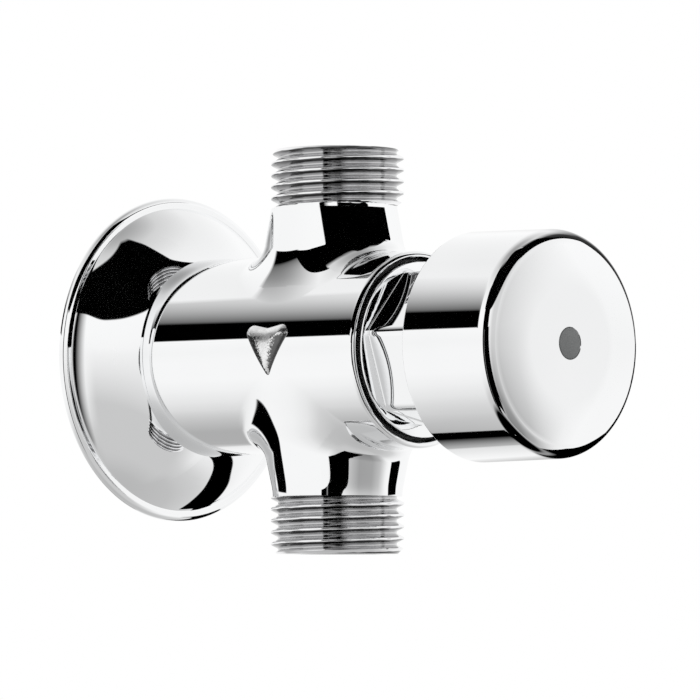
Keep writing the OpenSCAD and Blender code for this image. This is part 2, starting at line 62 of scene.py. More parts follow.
# The camera, set to the photograph's viewing angle
LOOK_AT = (1.368, -37.412, 0.482)
CAMERA_AZIMUTH = -45.887
CAMERA_ELEVATION = -2.515
CAMERA_DISTANCE = 956.0
CAMERA_LENS = 313.4
SENSOR_WIDTH = 36

# Places along the main axis, counted from the wall
BODY_REAR = 8.0
BODY_FRONT = 54.0
PORT_AXIS = 36.0
SHOULDER = 44.4
CHAMBER_STEP = 37.4
CHAMBER_REAR = 11.0
COLLAR_FLOOR = 51.1
CLAMP_FRONT = 46.0
RIM_REAR = 53.06
RIM_FRONT = 54.55
BONNET_INSIDE = 64.5
BONNET_FRONT = 69.0
BUTTON_REAR = 66.8
BUTTON_INSIDE = 80.6
BUTTON_FRONT = 85.1
BUTTON_BOSS_REAR = 76.3
PLUG_REAR = 83.42
LOCK_REAR = 81.09

# Radii of the turned pieces
BODY_REAR_R = 15.8
BODY_FRONT_R = 15.3
BODY_NOSE = 0.65
BODY_EDGE = 0.4
BOSS_R = 9.0
BOSS_CHAMFER = 0.3
STUD_HOLE_R = 3.4
STUD_HOLE_DEPTH = 8.5
STUD_CHAMFER = 0.4
CHAMBER_R = 10.5
OUTLET_R = 11.8
RIM_R = 13.75
RIM_EDGE = 0.35
NECK_FLATS = 22.0
NECK_CORNER = 1.6
NECK_TURN = 11.0
BONNET_THREAD_R = 12.5
BONNET_THREAD_PLAY = 0.03
COLLAR_BORE_R = 14.45
COLLAR_CHAMFER = 0.1
DASHPOT_R = 9.0
SPINDLE_HOLE_R = 2.8
GLAND_POCKET_R = 4.26
GLAND_POCKET_REAR = 65.64
BUTTON_REAR_R = 17.7
BUTTON_FRONT_R = 17.45
BUTTON_ROUND = 2.2
SKIRT_WALL = 2.0
FACE_FLAT_R = 8.85
FACE_FALL = 0.9
BUTTON_BOSS_R = 6.0
SPINDLE_END_R = 2.53
LOCK_R = 2.03
PLUG_R = 2.39
PLUG_PROUD = 0.12
ROSE_R = 26.0
ROSE_BAND = 1.7
ROSE_BAND_RISE = 1.1
ROSE_TOP_SLOPE = 20.0
ROSE_WALL = 1.0

# Ports: necks, fillets and the G 1/2 thread
NECK_CUT = 22.5
NECK_TOP = 23.1
NECK_OFF = (-0.35, 0.36)
INLET_NECK_R = 9.87
INLET_WIDENING = 0.165
INLET_FLARE = 0.1
INLET_FLARE_FLOOR = 10
OUTLET_NECK_R = 10.15
OUTLET_WIDENING = 0.21
OUTLET_WIDENS_AT = 21.8
WAIST_AT = 12.0
WAIST_PULL = 0.3
INLET_END = 31.95
OUTLET_END = 31.5
PORT_BORE_R = 7.0
PORT_BORE_CHAMFER = 0.3
POCKET_R = 8.0
POCKET_FLOOR = 11.0
LINING_FLOOR = 14.0
LINING_GAP = 0.05
LINING_TOP_GAP = 0.02
FEED_R = 2.7
FEED_SHIFT = 4.2
FEED_LENGTH = 8
FEED_LOWERED = 1.5
PITCH = 1.8143
THREAD_R = 10.4775
THREAD_DEPTH = 1.1616
THREAD_ROUND = 0.2492
FLANK = math.radians(27.5)
RUN_IN_SWEEP = 60
SHOULDER_SLOPE = 1.4
CHROME_MARGIN = 0.1
END_CHAMFER = 1.0
FILLET_MIDDLE = 2.0
FILLET_SIDE = 3.6
FILLET_SPREAD = 10.0

# Fineness of the meshes
TURN_STEPS = 192
THREAD_STEPS = 160
BORE_STEPS = 96
FEED_STEPS = 64
BUTTON_STEPS = 256
BUTTON_FACE_STEPS = 16
PLUG_STEPS = 128
VOXEL = 0.3
HOLD = 0.12
TURN_MERGE = 0.0005
THREAD_MERGE = 0.004
RIM_MERGE = 0.03
LEVEL_SLACK = 0.002
CUT_SNAP = 0.004
CUT_FLAT = 0.006


# Meshes

def as_object(bm, name):
    """Turns a bmesh into an object in the scene, and frees it."""
    mesh = bpy.data.meshes.new(name)
    bm.to_mesh(mesh)
    bm.free()
    made = bpy.data.objects.new(name, mesh)
    bpy.context.scene.collection.objects.link(made)
    return made


def with_modifiers(blank, *tools):
    """The bmesh that a blank's modifiers give. The blank and the tools that shaped it are removed."""
    seen = blank.evaluated_get(bpy.context.evaluated_depsgraph_get())
    bm = bmesh.new()
    bm.from_mesh(seen.to_mesh())
    seen.to_mesh_clear()
    for used in (blank, *tools):
        bpy.data.objects.remove(used)
    return bm


def finish_mesh(bm, name, sharp=32.0):
    """Turns a bmesh in millimetres into a smooth-shaded object in metres, with nothing loose left."""
    bmesh.ops.delete(bm, geom=[v for v in bm.verts if not v.link_faces], context="VERTS")
    bmesh.ops.delete(bm, geom=[e for e in bm.edges if e.is_wire], context="EDGES")
    bmesh.ops.recalc_face_normals(bm, faces=bm.faces)
    bmesh.ops.scale(bm, vec=(MM, MM, MM), verts=bm.verts)
    piece = as_object(bm, name)
    piece.data.shade_smooth()
    piece.data.set_sharp_from_angle(angle=math.radians(sharp))
    return piece


def dress(piece, body, slot, material, *stands_for):
    """Gives a new piece its material, the body it rides on and the nodes it stands for; the slot is not
    used.
    """
    piece.data.materials.append(material)
    if stands_for:
        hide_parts(*stands_for)
    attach(piece, body)


def arc(centre, radius, start, end, steps):
    """Points of a round stretch of an outline, angles in degrees from the radial direction."""
    angles = [math.radians(start + (end - start) * i / steps) for i in range(steps + 1)]
    return [(centre[0] + radius * math.cos(a), centre[1] + radius * math.sin(a)) for a in angles]


def held(outline, closed=True):
    """The outline with a point close to each end of its straight stretches, so that they stay crisp."""
    points = []
    following = outline[1:] + (outline[:1] if closed else [])
    for here, there in zip(outline, following):
        a, b = Vector(here), Vector(there)
        points.append(tuple(a))
        if (b - a).length > 4 * HOLD:
            step = (b - a).normalized() * HOLD
            points += [tuple(a + step), tuple(b - step)]
    if not closed:
        points.append(tuple(outline[-1]))
    return points


def turned(name, outline, steps=TURN_STEPS):
    """A piece turned about the main axis from a closed outline of (radius, D) points."""
    bm = bmesh.new()
    verts = [bm.verts.new((r, -d, 0)) for r, d in held(outline)]
    edges = [bm.edges.new(pair) for pair in zip(verts, verts[1:] + verts[:1])]
    bmesh.ops.spin(
        bm, geom=verts + edges, cent=(0, 0, 0), axis=(0, 1, 0),
        angle=2 * math.pi, steps=steps, use_merge=True,
    )
    bmesh.ops.remove_doubles(bm, verts=bm.verts, dist=TURN_MERGE)
    return finish_mesh(bm, name)


def ring_edges(bm, axis_point, axis, level):
    """The open boundary edges that lie in one plane across an axis."""
    found = []
    for edge in bm.edges:
        if edge.is_boundary:
            if all(abs((v.co - axis_point).dot(axis) - level) < LEVEL_SLACK for v in edge.verts):
                found.append(edge)
    return found


def place_ring(verts, axis_point, axis, radius, level):
    """Sets vertices on a circle round an axis, each at the angle it already has."""
    for v in verts:
        off = v.co - axis_point
        off -= axis * off.dot(axis)
        v.co = axis_point + axis * level + off.normalized() * radius


def extrude_ring(bm, edges):
    """Extrudes a ring of edges, and returns the new vertices and the new open edges."""
    made = bmesh.ops.extrude_edge_only(bm, edges=edges)["geom"]
    verts = [g for g in made if isinstance(g, bmesh.types.BMVert)]
    rim = [g for g in made if isinstance(g, bmesh.types.BMEdge) and g.is_boundary]
    return verts, rim


def sweep_ring(bm, edges, axis_point, axis, outline):
    """Extends an open ring of edges through (radius, level) points, and returns the last ring."""
    for radius, level in outline:
        verts, edges = extrude_ring(bm, edges)
        place_ring(verts, axis_point, axis, radius, level)
    return edges


def close_ring(bm, edges):
    """Closes a ring with a fan round its middle."""
    verts, _ = extrude_ring(bm, edges)
    middle = sum((v.co for v in verts), Vector()) / len(verts)
    bmesh.ops.pointmerge(bm, verts=verts, merge_co=middle)


# The body casting: barrel and necks blended by a rolling fillet

ROUGH_STEPS = 96
ROUGH_NECK_R = 10.5
ROUGH_SPARE = 4
NECK_SPARE = 1.4
BARREL_SPARE = 0.6
CUT_MARGIN = 0.3
BARREL_CUTS = (BODY_REAR + BODY_EDGE + CUT_MARGIN, BODY_FRONT - BODY_NOSE - CUT_MARGIN)
SURFACE_SLACK = 0.003
NORMAL_SLACK = 0.01
NORMAL_AGREES = 0.8


def ramp(values, width):
    """A smooth rise from flat to slope one."""
    return (values + np.sqrt(values * values + width * width)) / 2


def neck_radius(z):
    """Radius of the inlet neck above the main axis and of the outlet neck below it."""
    height = np.abs(z)
    inlet = INLET_NECK_R + INLET_WIDENING * (NECK_TOP - height)
    outlet = OUTLET_NECK_R + OUTLET_WIDENING * ramp(OUTLET_WIDENS_AT - height, width=0.8)
    return np.where(z > 0, inlet, outlet) - WAIST_PULL * ramp(WAIST_AT - height, width=2.0)


def neck_flare(x, y, z):
    """How much wider the inlet neck is towards the button and the wall than at its two sides."""
    side = x / np.maximum(np.hypot(x, y), 1e-6)
    growth = INLET_FLARE * (NECK_TOP - np.maximum(z, INLET_FLARE_FLOOR))
    return np.where(z > 0, growth * (1 - 2 * side * side), 0)


def neck_reach(angle, z):
    """Distance from the port's axis to its neck at an angle in radians."""
    if z < 0:
        return float(neck_radius(z))
    x, y = math.cos(angle), math.sin(angle)
    return float(neck_radius(z) + neck_flare(x, y, z)) + NECK_OFF[0] * x + NECK_OFF[1] * y


def barrel_radius(distance):
    """Radius of the tapered barrel at a distance from the wall."""
    taper = (BODY_REAR_R - BODY_FRONT_R) / (BODY_FRONT - BODY_REAR)
    return BODY_REAR_R - taper * (distance - BODY_REAR)


def body_field(points):
    """How far points lie outside the blended casting, in millimetres."""
    x, y, z = points.T
    barrel = np.hypot(x, z) - barrel_radius(-y)
    off_x = x - np.where(z > 0, NECK_OFF[0], 0)
    off_y = y + PORT_AXIS - np.where(z > 0, NECK_OFF[1], 0)
    neck = np.hypot(off_x, off_y) - neck_radius(z) - neck_flare(off_x, off_y, z)
    side = np.clip(np.abs(x) / FILLET_SPREAD, 0, 1)
    fillet = FILLET_MIDDLE + (FILLET_SIDE - FILLET_MIDDLE) * side * side
    inside_both = np.hypot(np.maximum(fillet - barrel, 0), np.maximum(fillet - neck, 0))
    return np.maximum(fillet, np.minimum(barrel, neck)) - inside_both


def body_slope(points, step=0.002):
    """Gradient of body_field at each point."""
    slopes = []
    for axis in range(3):
        shift = np.zeros(3)
        shift[axis] = step
        slopes.append((body_field(points + shift) - body_field(points - shift)) / (2 * step))
    return np.stack(slopes, axis=1)


def settle(points, rounds=6):
    """Moves points onto the casting's surface."""
    for _ in range(rounds):
        slope = body_slope(points)
        points = points - slope * (body_field(points) / (slope * slope).sum(axis=1))[:, None]
    return points


def rough_casting():
    """A fine closed mesh of barrel and necks before they are blended."""
    bm = bmesh.new()
    along_y = Matrix.Rotation(math.radians(90), 4, "X")
    middle = (BODY_REAR + BODY_FRONT) / 2
    bmesh.ops.create_cone(
        bm, cap_ends=True, segments=ROUGH_STEPS, radius1=BODY_REAR_R, radius2=BODY_FRONT_R,
        depth=BODY_FRONT - BODY_REAR + ROUGH_SPARE,
        matrix=Matrix.Translation((0, -middle, 0)) @ along_y,
    )
    bmesh.ops.create_cone(
        bm, cap_ends=True, segments=ROUGH_STEPS, radius1=ROUGH_NECK_R, radius2=ROUGH_NECK_R,
        depth=2 * NECK_CUT + ROUGH_SPARE, matrix=Matrix.Translation((0, -PORT_AXIS, 0)),
    )
    rough = as_object(bm, "rough_casting")
    remesh = rough.modifiers.new("remesh", "REMESH")
    remesh.mode = "VOXEL"
    remesh.voxel_size = VOXEL
    return with_modifiers(rough)


def settle_mesh(bm):
    """Settles every vertex of the casting between its ends onto its true surface."""
    bm.verts.ensure_lookup_table()
    points = np.array([v.co for v in bm.verts])
    near = np.abs(points[:, 2]) < NECK_CUT + NECK_SPARE
    near &= points[:, 1] < BARREL_SPARE - BODY_REAR
    near &= points[:, 1] > -BODY_FRONT - BARREL_SPARE
    points[near] = settle(points[near])
    for v, point in zip(bm.verts, points):
        v.co = point


def cut(bm, point, normal):
    """Cuts away what lies on the normal's side of a plane, and leaves a flat edge there."""
    geom = bm.verts[:] + bm.edges[:] + bm.faces[:]
    bmesh.ops.bisect_plane(
        bm, geom=geom, dist=CUT_SNAP, plane_co=point, plane_no=normal, clear_outer=True,
    )
    way = Vector(normal)
    for v in bm.verts:
        past = (v.co - Vector(point)).dot(way)
        if abs(past) < CUT_FLAT:
            v.co -= way * past


def valve_casting():
    """The whole body: casting, nose and counterbore, chamber, rear boss and port pockets."""
    bm = rough_casting()
    settle_mesh(bm)
    rear_cut, front_cut = BARREL_CUTS
    cut(bm, (0, -front_cut, 0), (0, -1, 0))
    cut(bm, (0, -rear_cut, 0), (0, 1, 0))
    cut(bm, (0, 0, NECK_CUT), (0, 0, 1))
    cut(bm, (0, 0, -NECK_CUT), (0, 0, -1))
    away = Vector((0, -1, 0))
    axis_point = Vector((0, 0, 0))
    edge_verts = [v for v in bm.verts if v.is_boundary]
    bmesh.ops.remove_doubles(bm, verts=edge_verts, dist=RIM_MERGE)

    seat_r = BONNET_THREAD_R + BONNET_THREAD_PLAY
    front = held(
        arc((BODY_FRONT_R - BODY_NOSE, BODY_FRONT - BODY_NOSE), BODY_NOSE, 0, 90, 10)
        + [
            (COLLAR_BORE_R + COLLAR_CHAMFER, BODY_FRONT), (COLLAR_BORE_R, BODY_FRONT - COLLAR_CHAMFER),
            (COLLAR_BORE_R, COLLAR_FLOOR), (seat_r, COLLAR_FLOOR), (seat_r, SHOULDER),
            (OUTLET_R, SHOULDER), (OUTLET_R, CHAMBER_STEP), (CHAMBER_R, CHAMBER_STEP),
            (CHAMBER_R, CHAMBER_REAR),
        ], closed=False,
    )
    ring = ring_edges(bm, axis_point, away, front_cut)
    close_ring(bm, sweep_ring(bm, ring, axis_point, away, front))

    rear = held(
        [
            (BODY_REAR_R, BODY_REAR + BODY_EDGE), (BODY_REAR_R - BODY_EDGE, BODY_REAR),
            (BOSS_R, BODY_REAR), (BOSS_R, BOSS_CHAMFER), (BOSS_R - BOSS_CHAMFER, 0),
            (STUD_HOLE_R + STUD_CHAMFER, 0), (STUD_HOLE_R, STUD_CHAMFER),
            (STUD_HOLE_R, STUD_HOLE_DEPTH),
        ], closed=False,
    )
    ring = ring_edges(bm, axis_point, away, rear_cut)
    close_ring(bm, sweep_ring(bm, ring, axis_point, away, rear))

    port_point = Vector((0, -PORT_AXIS, 0))
    for up in (1, -1):
        axis = Vector((0, 0, up))
        ring = ring_edges(bm, port_point, axis, NECK_CUT)
        pocket = held([(POCKET_R, NECK_CUT), (POCKET_R, POCKET_FLOOR)], closed=False)
        close_ring(bm, sweep_ring(bm, ring, port_point, axis, pocket))
    piece = finish_mesh(bm, "body_casting")
    true_normals(piece)
    return piece


def true_normals(piece):
    """Gives the blended surface the casting's own normals, so that it mirrors cleanly."""
    mesh = piece.data
    count = len(mesh.vertices)
    points = np.empty(count * 3)
    mesh.vertices.foreach_get("co", points)
    points = points.reshape(-1, 3) / MM
    rear_cut, front_cut = BARREL_CUTS
    on_casting = np.abs(body_field(points)) < SURFACE_SLACK
    on_casting &= points[:, 1] < NORMAL_SLACK - rear_cut
    on_casting &= points[:, 1] > -NORMAL_SLACK - front_cut
    on_casting &= np.abs(points[:, 2]) < NECK_CUT + NORMAL_SLACK
    slope = body_slope(points)
    slope /= np.linalg.norm(slope, axis=1)[:, None]
    loops = np.empty(len(mesh.loops), dtype=np.int32)
    mesh.loops.foreach_get("vertex_index", loops)
    normals = np.empty(len(mesh.loops) * 3)
    mesh.corner_normals.foreach_get("vector", normals)
    normals = normals.reshape(-1, 3)
    agree = (normals * slope[loops]).sum(axis=1) > NORMAL_AGREES
    chosen = on_casting[loops] & agree
    normals[chosen] = slope[loops][chosen]
    mesh.normals_split_custom_set(normals)


# Threads: heights of a crest on the +X side and of the necks' shoulders, and run-in angles

INLET_CREST = 27.166
INLET_SHOULDER = 23.1
INLET_RUN_IN = -120
OUTLET_CREST = -28.794
OUTLET_SHOULDER = 22.5
OUTLET_RUN_IN = -226


def thread_profile(offset):
    """Radius of the thread at an axial offset from a crest."""
    t = abs(offset)
    round_end = THREAD_ROUND * math.cos(FLANK)
    drop = THREAD_ROUND * (1 - math.sin(FLANK))
    if t < round_end:
        return THREAD_R - THREAD_ROUND + math.sqrt(THREAD_ROUND ** 2 - t * t)
    if t > PITCH / 2 - round_end:
        rest = PITCH / 2 - t
        return THREAD_R - THREAD_DEPTH + THREAD_ROUND - math.sqrt(THREAD_ROUND ** 2 - rest * rest)
    return THREAD_R - drop - (t - round_end) / math.tan(FLANK)


def thread_offsets():
    """Axial offsets from a crest over one pitch, dense round crest and root."""
    round_end = THREAD_ROUND * math.cos(FLANK)
    crest = [round_end * math.sin(math.radians(a)) for a in (-90, -55, -28, 0, 28, 55, 90)]
    flank = [round_end + (PITCH / 2 - 2 * round_end) * share for share in (0.22, 0.5, 0.78)]
    root = [PITCH / 2 + offset for offset in crest]
    return crest + flank + root + [PITCH - offset for offset in reversed(flank)]


def thread_growth(z, angle, up, start, crest_at_zero, run_in):
    """How much of its depth a thread has at a height and an angle, from 0 at its run-in to 1."""
    turn = math.floor((z - crest_at_zero) / PITCH - angle / 360)
    turned_by = up * (360 * (turn + 0.5) + angle) - 360 * start / PITCH - run_in
    share = min(max(turned_by / RUN_IN_SWEEP, 0), 1)
    return share * share * (3 - 2 * share)


def port_thread(name, up, end, crest_at_zero, step_at, run_in):
    """The threaded end of a port, with its run-in groove, end chamfer and bore.

    end is how far it reaches, crest_at_zero the height of a crest on the +X side, step_at the height of
    the neck's shoulder, and run_in the angle at which the cutting tool leaves the metal, in degrees.
    """
    offsets = thread_offsets()
    low_turn = math.floor((min(up * NECK_CUT, up * end) - crest_at_zero) / PITCH) - 2
    high_turn = math.ceil((max(up * NECK_CUT, up * end) - crest_at_zero) / PITCH) + 1
    bm = bmesh.new()
    verts = []
    for turn in range(low_turn, high_turn):
        for offset in offsets:
            z = crest_at_zero + PITCH * turn + offset
            from_crest = (z - crest_at_zero + PITCH / 2) % PITCH - PITCH / 2
            verts.append(bm.verts.new((thread_profile(from_crest), 0, z)))
    edges = [bm.edges.new(pair) for pair in zip(verts, verts[1:])]
    bmesh.ops.spin(
        bm, geom=verts + edges, cent=(0, 0, 0), axis=(0, 0, 1), dvec=(0, 0, PITCH / THREAD_STEPS),
        angle=2 * math.pi, steps=THREAD_STEPS, use_merge=False,
    )
    bmesh.ops.remove_doubles(bm, verts=bm.verts, dist=THREAD_MERGE)
    start = step_at - crest_at_zero * up
    for v in bm.verts:
        angle = math.degrees(math.atan2(v.co.y, v.co.x)) % 360
        level = v.co.z * up
        growth = thread_growth(v.co.z, angle, up, start, crest_at_zero, run_in)
        r = THREAD_R - (THREAD_R - math.hypot(v.co.x, v.co.y)) * growth
        stock = neck_reach(math.radians(angle), up * min(level, step_at))
        stock += max(level - step_at, 0) * SHOULDER_SLOPE
        chamfer = THREAD_R - max(level - (end - END_CHAMFER), 0)
        r = min(r, stock, chamfer)
        flat = Vector((v.co.x, v.co.y, 0)).normalized()
        v.co = flat * r + Vector((0, 0, v.co.z))
    cut(bm, (0, 0, up * end), (0, 0, up))
    cut(bm, (0, 0, up * NECK_CUT), (0, 0, -up))
    axis = Vector((0, 0, up))
    centre = Vector((0, 0, 0))
    bore = held([
        (PORT_BORE_R + PORT_BORE_CHAMFER, end), (PORT_BORE_R, end - PORT_BORE_CHAMFER),
        (PORT_BORE_R, NECK_CUT),
    ], closed=False)
    inner = sweep_ring(bm, ring_edges(bm, centre, axis, end), centre, axis, bore)
    foot = [e for e in ring_edges(bm, centre, axis, NECK_CUT) if e not in inner]
    bmesh.ops.bridge_loops(bm, edges=inner + foot)
    for face in bm.faces:
        on_neck = face.calc_center_median().z * up < step_at - CHROME_MARGIN
        face.material_index = 0 if on_neck else 1
    bmesh.ops.translate(bm, vec=(0, -PORT_AXIS, 0), verts=bm.verts)
    piece = finish_mesh(bm, name, sharp=40)
    piece.data.materials.append(CHROME)
    return piece


def port_lining(name, up):
    """The bottom of a port's bore, with the drilled way into the chamber."""
    bm = bmesh.new()
    centre = Vector((0, 0, 0))
    axis = Vector((0, 0, up))
    foot_r = POCKET_R - LINING_GAP
    top = NECK_CUT - LINING_TOP_GAP
    bmesh.ops.create_circle(bm, segments=BORE_STEPS, radius=foot_r)
    ring = bm.edges[:]
    place_ring(bm.verts[:], centre, axis, foot_r, POCKET_FLOOR + LINING_GAP)
    wall = held([(foot_r, top), (PORT_BORE_R, top), (PORT_BORE_R, LINING_FLOOR)], closed=False)
    close_ring(bm, sweep_ring(bm, ring, centre, axis, wall))
    close_ring(bm, [e for e in bm.edges if e.is_boundary])
    bmesh.ops.recalc_face_normals(bm, faces=bm.faces)
    blank = as_object(bm, name + "_blank")
    bm = bmesh.new()
    bmesh.ops.create_cone(
        bm, cap_ends=True, segments=FEED_STEPS, radius1=FEED_R, radius2=FEED_R, depth=FEED_LENGTH,
        matrix=Matrix.Translation((0, up * FEED_SHIFT, up * (LINING_FLOOR - FEED_LOWERED))),
    )
    drill = as_object(bm, name + "_drill")
    hole = blank.modifiers.new("hole", "BOOLEAN")
    hole.operation = "DIFFERENCE"
    hole.solver = "EXACT"
    hole.object = drill
    bm = with_modifiers(blank, drill)
    bmesh.ops.translate(bm, vec=(0, -PORT_AXIS, 0), verts=bm.verts)
    return finish_mesh(bm, name)


# The raised flow arrow: a pillowed relief draped over the barrel's left side

ARROW_RISE = 0.95
ARROW_SUNK = 0.12
ARROW_SHEET = 10.4
ARROW_SHEET_RAISED = 0.6
ARROW_EDGE = 2.2
ARROW_CORNERS = [(0, 2.1), (3.0, 2.65), (0, -3.5), (-3.0, 2.65)]
ARROW_OFF = 0.4
ARROW_TIP_ROUND = 0.38
ARROW_LOBE_ROUND = 1.3
ARROW_STEP = 0.08
ARROW_DIP = 0.5
ARROW_DIP_SLOPE = 2
ARROW_TRIM = 0.18
ARROW_FOOT = 0.5


def arrow_inset(u, v):
    """How deep points lie inside the arrow's outline, negative outside; its tip is the sharpest."""
    nearest = np.full(u.shape, 1e9)
    inside = np.zeros(u.shape, dtype=bool)
    pairs = zip(ARROW_CORNERS, ARROW_CORNERS[1:] + ARROW_CORNERS[:1])
    for (ax, ay), (bx, by) in pairs:
        ex, ey = bx - ax, by - ay
        share = np.clip(((u - ax) * ex + (v - ay) * ey) / (ex * ex + ey * ey), 0, 1)
        nearest = np.minimum(nearest, np.hypot(u - ax - share * ex, v - ay - share * ey))
        crosses = (ay > v) != (by > v)
        inside ^= crosses & (u < ax + (v - ay) * ex / ey)
    low = min(corner[1] for corner in ARROW_CORNERS)
    high = max(corner[1] for corner in ARROW_CORNERS)
    height = np.clip((v - low) / (high - low), 0, 1)
    corner_round = ARROW_TIP_ROUND + (ARROW_LOBE_ROUND - ARROW_TIP_ROUND) * height
    return np.where(inside, nearest, -nearest) + corner_round


def flow_arrow():
    """The arrow on the -X side, pointing down."""
    bm = bmesh.new()
    cells = round(ARROW_SHEET / ARROW_STEP)
    bmesh.ops.create_grid(bm, x_segments=cells, y_segments=cells, size=ARROW_SHEET / 2)
    bmesh.ops.translate(bm, vec=(0, ARROW_SHEET_RAISED, 0), verts=bm.verts)
    flat = np.array([v.co for v in bm.verts])
    depth = arrow_inset(flat[:, 0], flat[:, 1])
    share = np.clip(depth / ARROW_EDGE, 0, 1)
    lift = (ARROW_RISE + ARROW_SUNK) * np.sqrt(np.clip(1 - (1 - share) ** 2, 0, 1))
    lift = np.where(depth < 0, np.maximum(depth * ARROW_DIP_SLOPE, -ARROW_DIP), lift)
    barrel_r = barrel_radius(PORT_AXIS)
    for v, (u, h, _), rise in zip(bm.verts, flat, lift):
        r = barrel_r - ARROW_SUNK + rise
        v.co = (-math.sqrt(max(r * r - h * h, 0)), -PORT_AXIS + ARROW_OFF + u, h)
    outside = [f for f in bm.faces if all(depth[v.index] < -ARROW_TRIM for v in f.verts)]
    bmesh.ops.delete(bm, geom=outside, context="FACES")
    verts, _ = extrude_ring(bm, [e for e in bm.edges if e.is_boundary])
    for v in verts:
        v.co.x += ARROW_FOOT
    bmesh.ops.holes_fill(bm, edges=[e for e in bm.edges if e.is_boundary])
    return finish_mesh(bm, "flow_arrow", sharp=60)


# Turned pieces

ROSE_TUCK = 0.2
ROSE_PLAY = 0.2
ROSE_SUNK = 0.02
ROSE_RIM_ROUND = 1.0
ROSE_CREASE = ((0.04, -0.06), (0.1, -0.04))
BONNET_CHAMFER = 0.6
RIM_REAR_EDGE = 0.1
NECK_ROOT = ((0.14, 0), (0.06, 0.05), (0, 0.16))
NECK_MOUTH = 0.9
SKIRT_LIP = 0.4
SKIRT_ROUND = 0.2
INSIDE_CHAMFER = 1
DOME_START = 85
PLUG_PLAY = 0.03
PLUG_POCKET_EDGE = (0.12, 0.08)
PLUG_ROUND = 0.15
PLUG_ROUND_REAR = 0.2
PLUG_CROWN = 0.01


def rose():
    """The domed wall rose."""
    foot_r = ROSE_R - ROSE_BAND
    top_r = BODY_REAR_R - BODY_EDGE - ROSE_TUCK
    run, drop = foot_r - top_r, BODY_REAR - ROSE_BAND_RISE
    slope = math.degrees(math.atan2(drop, run))
    sweep = 2 * (slope - ROSE_TOP_SLOPE)
    radius = math.hypot(run, drop) / (2 * math.sin(math.radians(sweep / 2)))
    top = math.radians(ROSE_TOP_SLOPE)
    centre = (top_r - radius * math.sin(top), BODY_REAR - radius * math.cos(top))
    start, end = 90 - ROSE_TOP_SLOPE, 90 - ROSE_TOP_SLOPE - sweep
    hole_r = BOSS_R + ROSE_PLAY
    rim_centre = (ROSE_R - ROSE_RIM_ROUND, ROSE_BAND_RISE - ROSE_RIM_ROUND)
    outline = [(hole_r, BODY_REAR - ROSE_WALL), (hole_r, BODY_REAR - ROSE_SUNK)]
    outline += [(r, d - ROSE_SUNK) for r, d in arc(centre, radius, start, end, 40)]
    outline += [(foot_r + out, ROSE_BAND_RISE + down) for out, down in ROSE_CREASE]
    outline += arc(rim_centre, ROSE_RIM_ROUND, 85, 0, 14)
    outline += [(ROSE_R, 0), (ROSE_R - ROSE_WALL, 0)]
    outline += arc(centre, radius - ROSE_WALL, end, start, 24)
    return turned("rose_shell", outline)


def flats_radius(angle):
    """Radius of the neck's rounded hexagon at an angle above its left side, in degrees."""
    off = (angle - NECK_TURN) % 60
    off = min(off, 60 - off)
    flat = NECK_FLATS / 2
    reach = (flat - NECK_CORNER) / math.cos(math.radians(30))
    a = math.radians(off)
    on_flat = flat / math.cos(math.radians(30) - a)
    if on_flat * math.sin(a) > NECK_CORNER * math.sin(math.radians(30)):
        return on_flat
    return reach * math.cos(a) + math.sqrt(NECK_CORNER ** 2 - (reach * math.sin(a)) ** 2)


def neck_angles():
    """Angles round the hexagonal neck, dense at its rounded corners."""
    inner = (0, 0.6, 1.2, 1.8, 2.4, 3, 3.6, 4.2, 6, 9, 14, 20, 26)
    angles = []
    for corner in range(6):
        start = NECK_TURN + 60 * corner
        angles += [start - a for a in inner[:0:-1]] + [start + a for a in inner] + [start + 30]
    return sorted(a % 360 for a in angles)


def bonnet():
    """The bonnet: a round rim at the body and the polished hexagonal neck behind the button."""
    bm = bmesh.new()
    angles = neck_angles()
    outline = held([
        (DASHPOT_R, CLAMP_FRONT), (BONNET_THREAD_R - BONNET_CHAMFER, CLAMP_FRONT),
        (BONNET_THREAD_R, CLAMP_FRONT + BONNET_CHAMFER), (BONNET_THREAD_R, RIM_REAR),
        (RIM_R - RIM_REAR_EDGE, RIM_REAR), (RIM_R, RIM_REAR + RIM_REAR_EDGE),
        (RIM_R, RIM_FRONT - RIM_EDGE), (RIM_R - RIM_EDGE * 0.3, RIM_FRONT - RIM_EDGE * 0.3),
        (RIM_R - RIM_EDGE, RIM_FRONT),
    ], closed=False)
    root = [(more, RIM_FRONT + ahead) for more, ahead in NECK_ROOT]
    neck = held(root + [(0, BONNET_FRONT - NECK_MOUTH)], closed=False)
    inside = held([
        (NECK_FLATS / 2 - NECK_MOUTH, BONNET_FRONT), (GLAND_POCKET_R, BONNET_FRONT),
        (GLAND_POCKET_R, GLAND_POCKET_REAR), (SPINDLE_HOLE_R, GLAND_POCKET_REAR),
        (SPINDLE_HOLE_R, BONNET_INSIDE), (DASHPOT_R, BONNET_INSIDE),
    ], closed=False)
    rows = [[(r, d) for _ in angles] for r, d in outline]
    rows += [[(flats_radius(a) + more, d) for a in angles] for more, d in neck]
    rows += [[(r, d) for _ in angles] for r, d in inside]
    rings = []
    for row in rows:
        ring = []
        for angle, (r, d) in zip(angles, row):
            a = math.radians(angle)
            ring.append(bm.verts.new((-r * math.cos(a), -d, r * math.sin(a))))
        rings.append([bm.edges.new(pair) for pair in zip(ring, ring[1:] + ring[:1])])
    for first, second in zip(rings, rings[1:] + rings[:1]):
        bmesh.ops.bridge_loops(bm, edges=first + second)
    return finish_mesh(bm, "bonnet_neck")


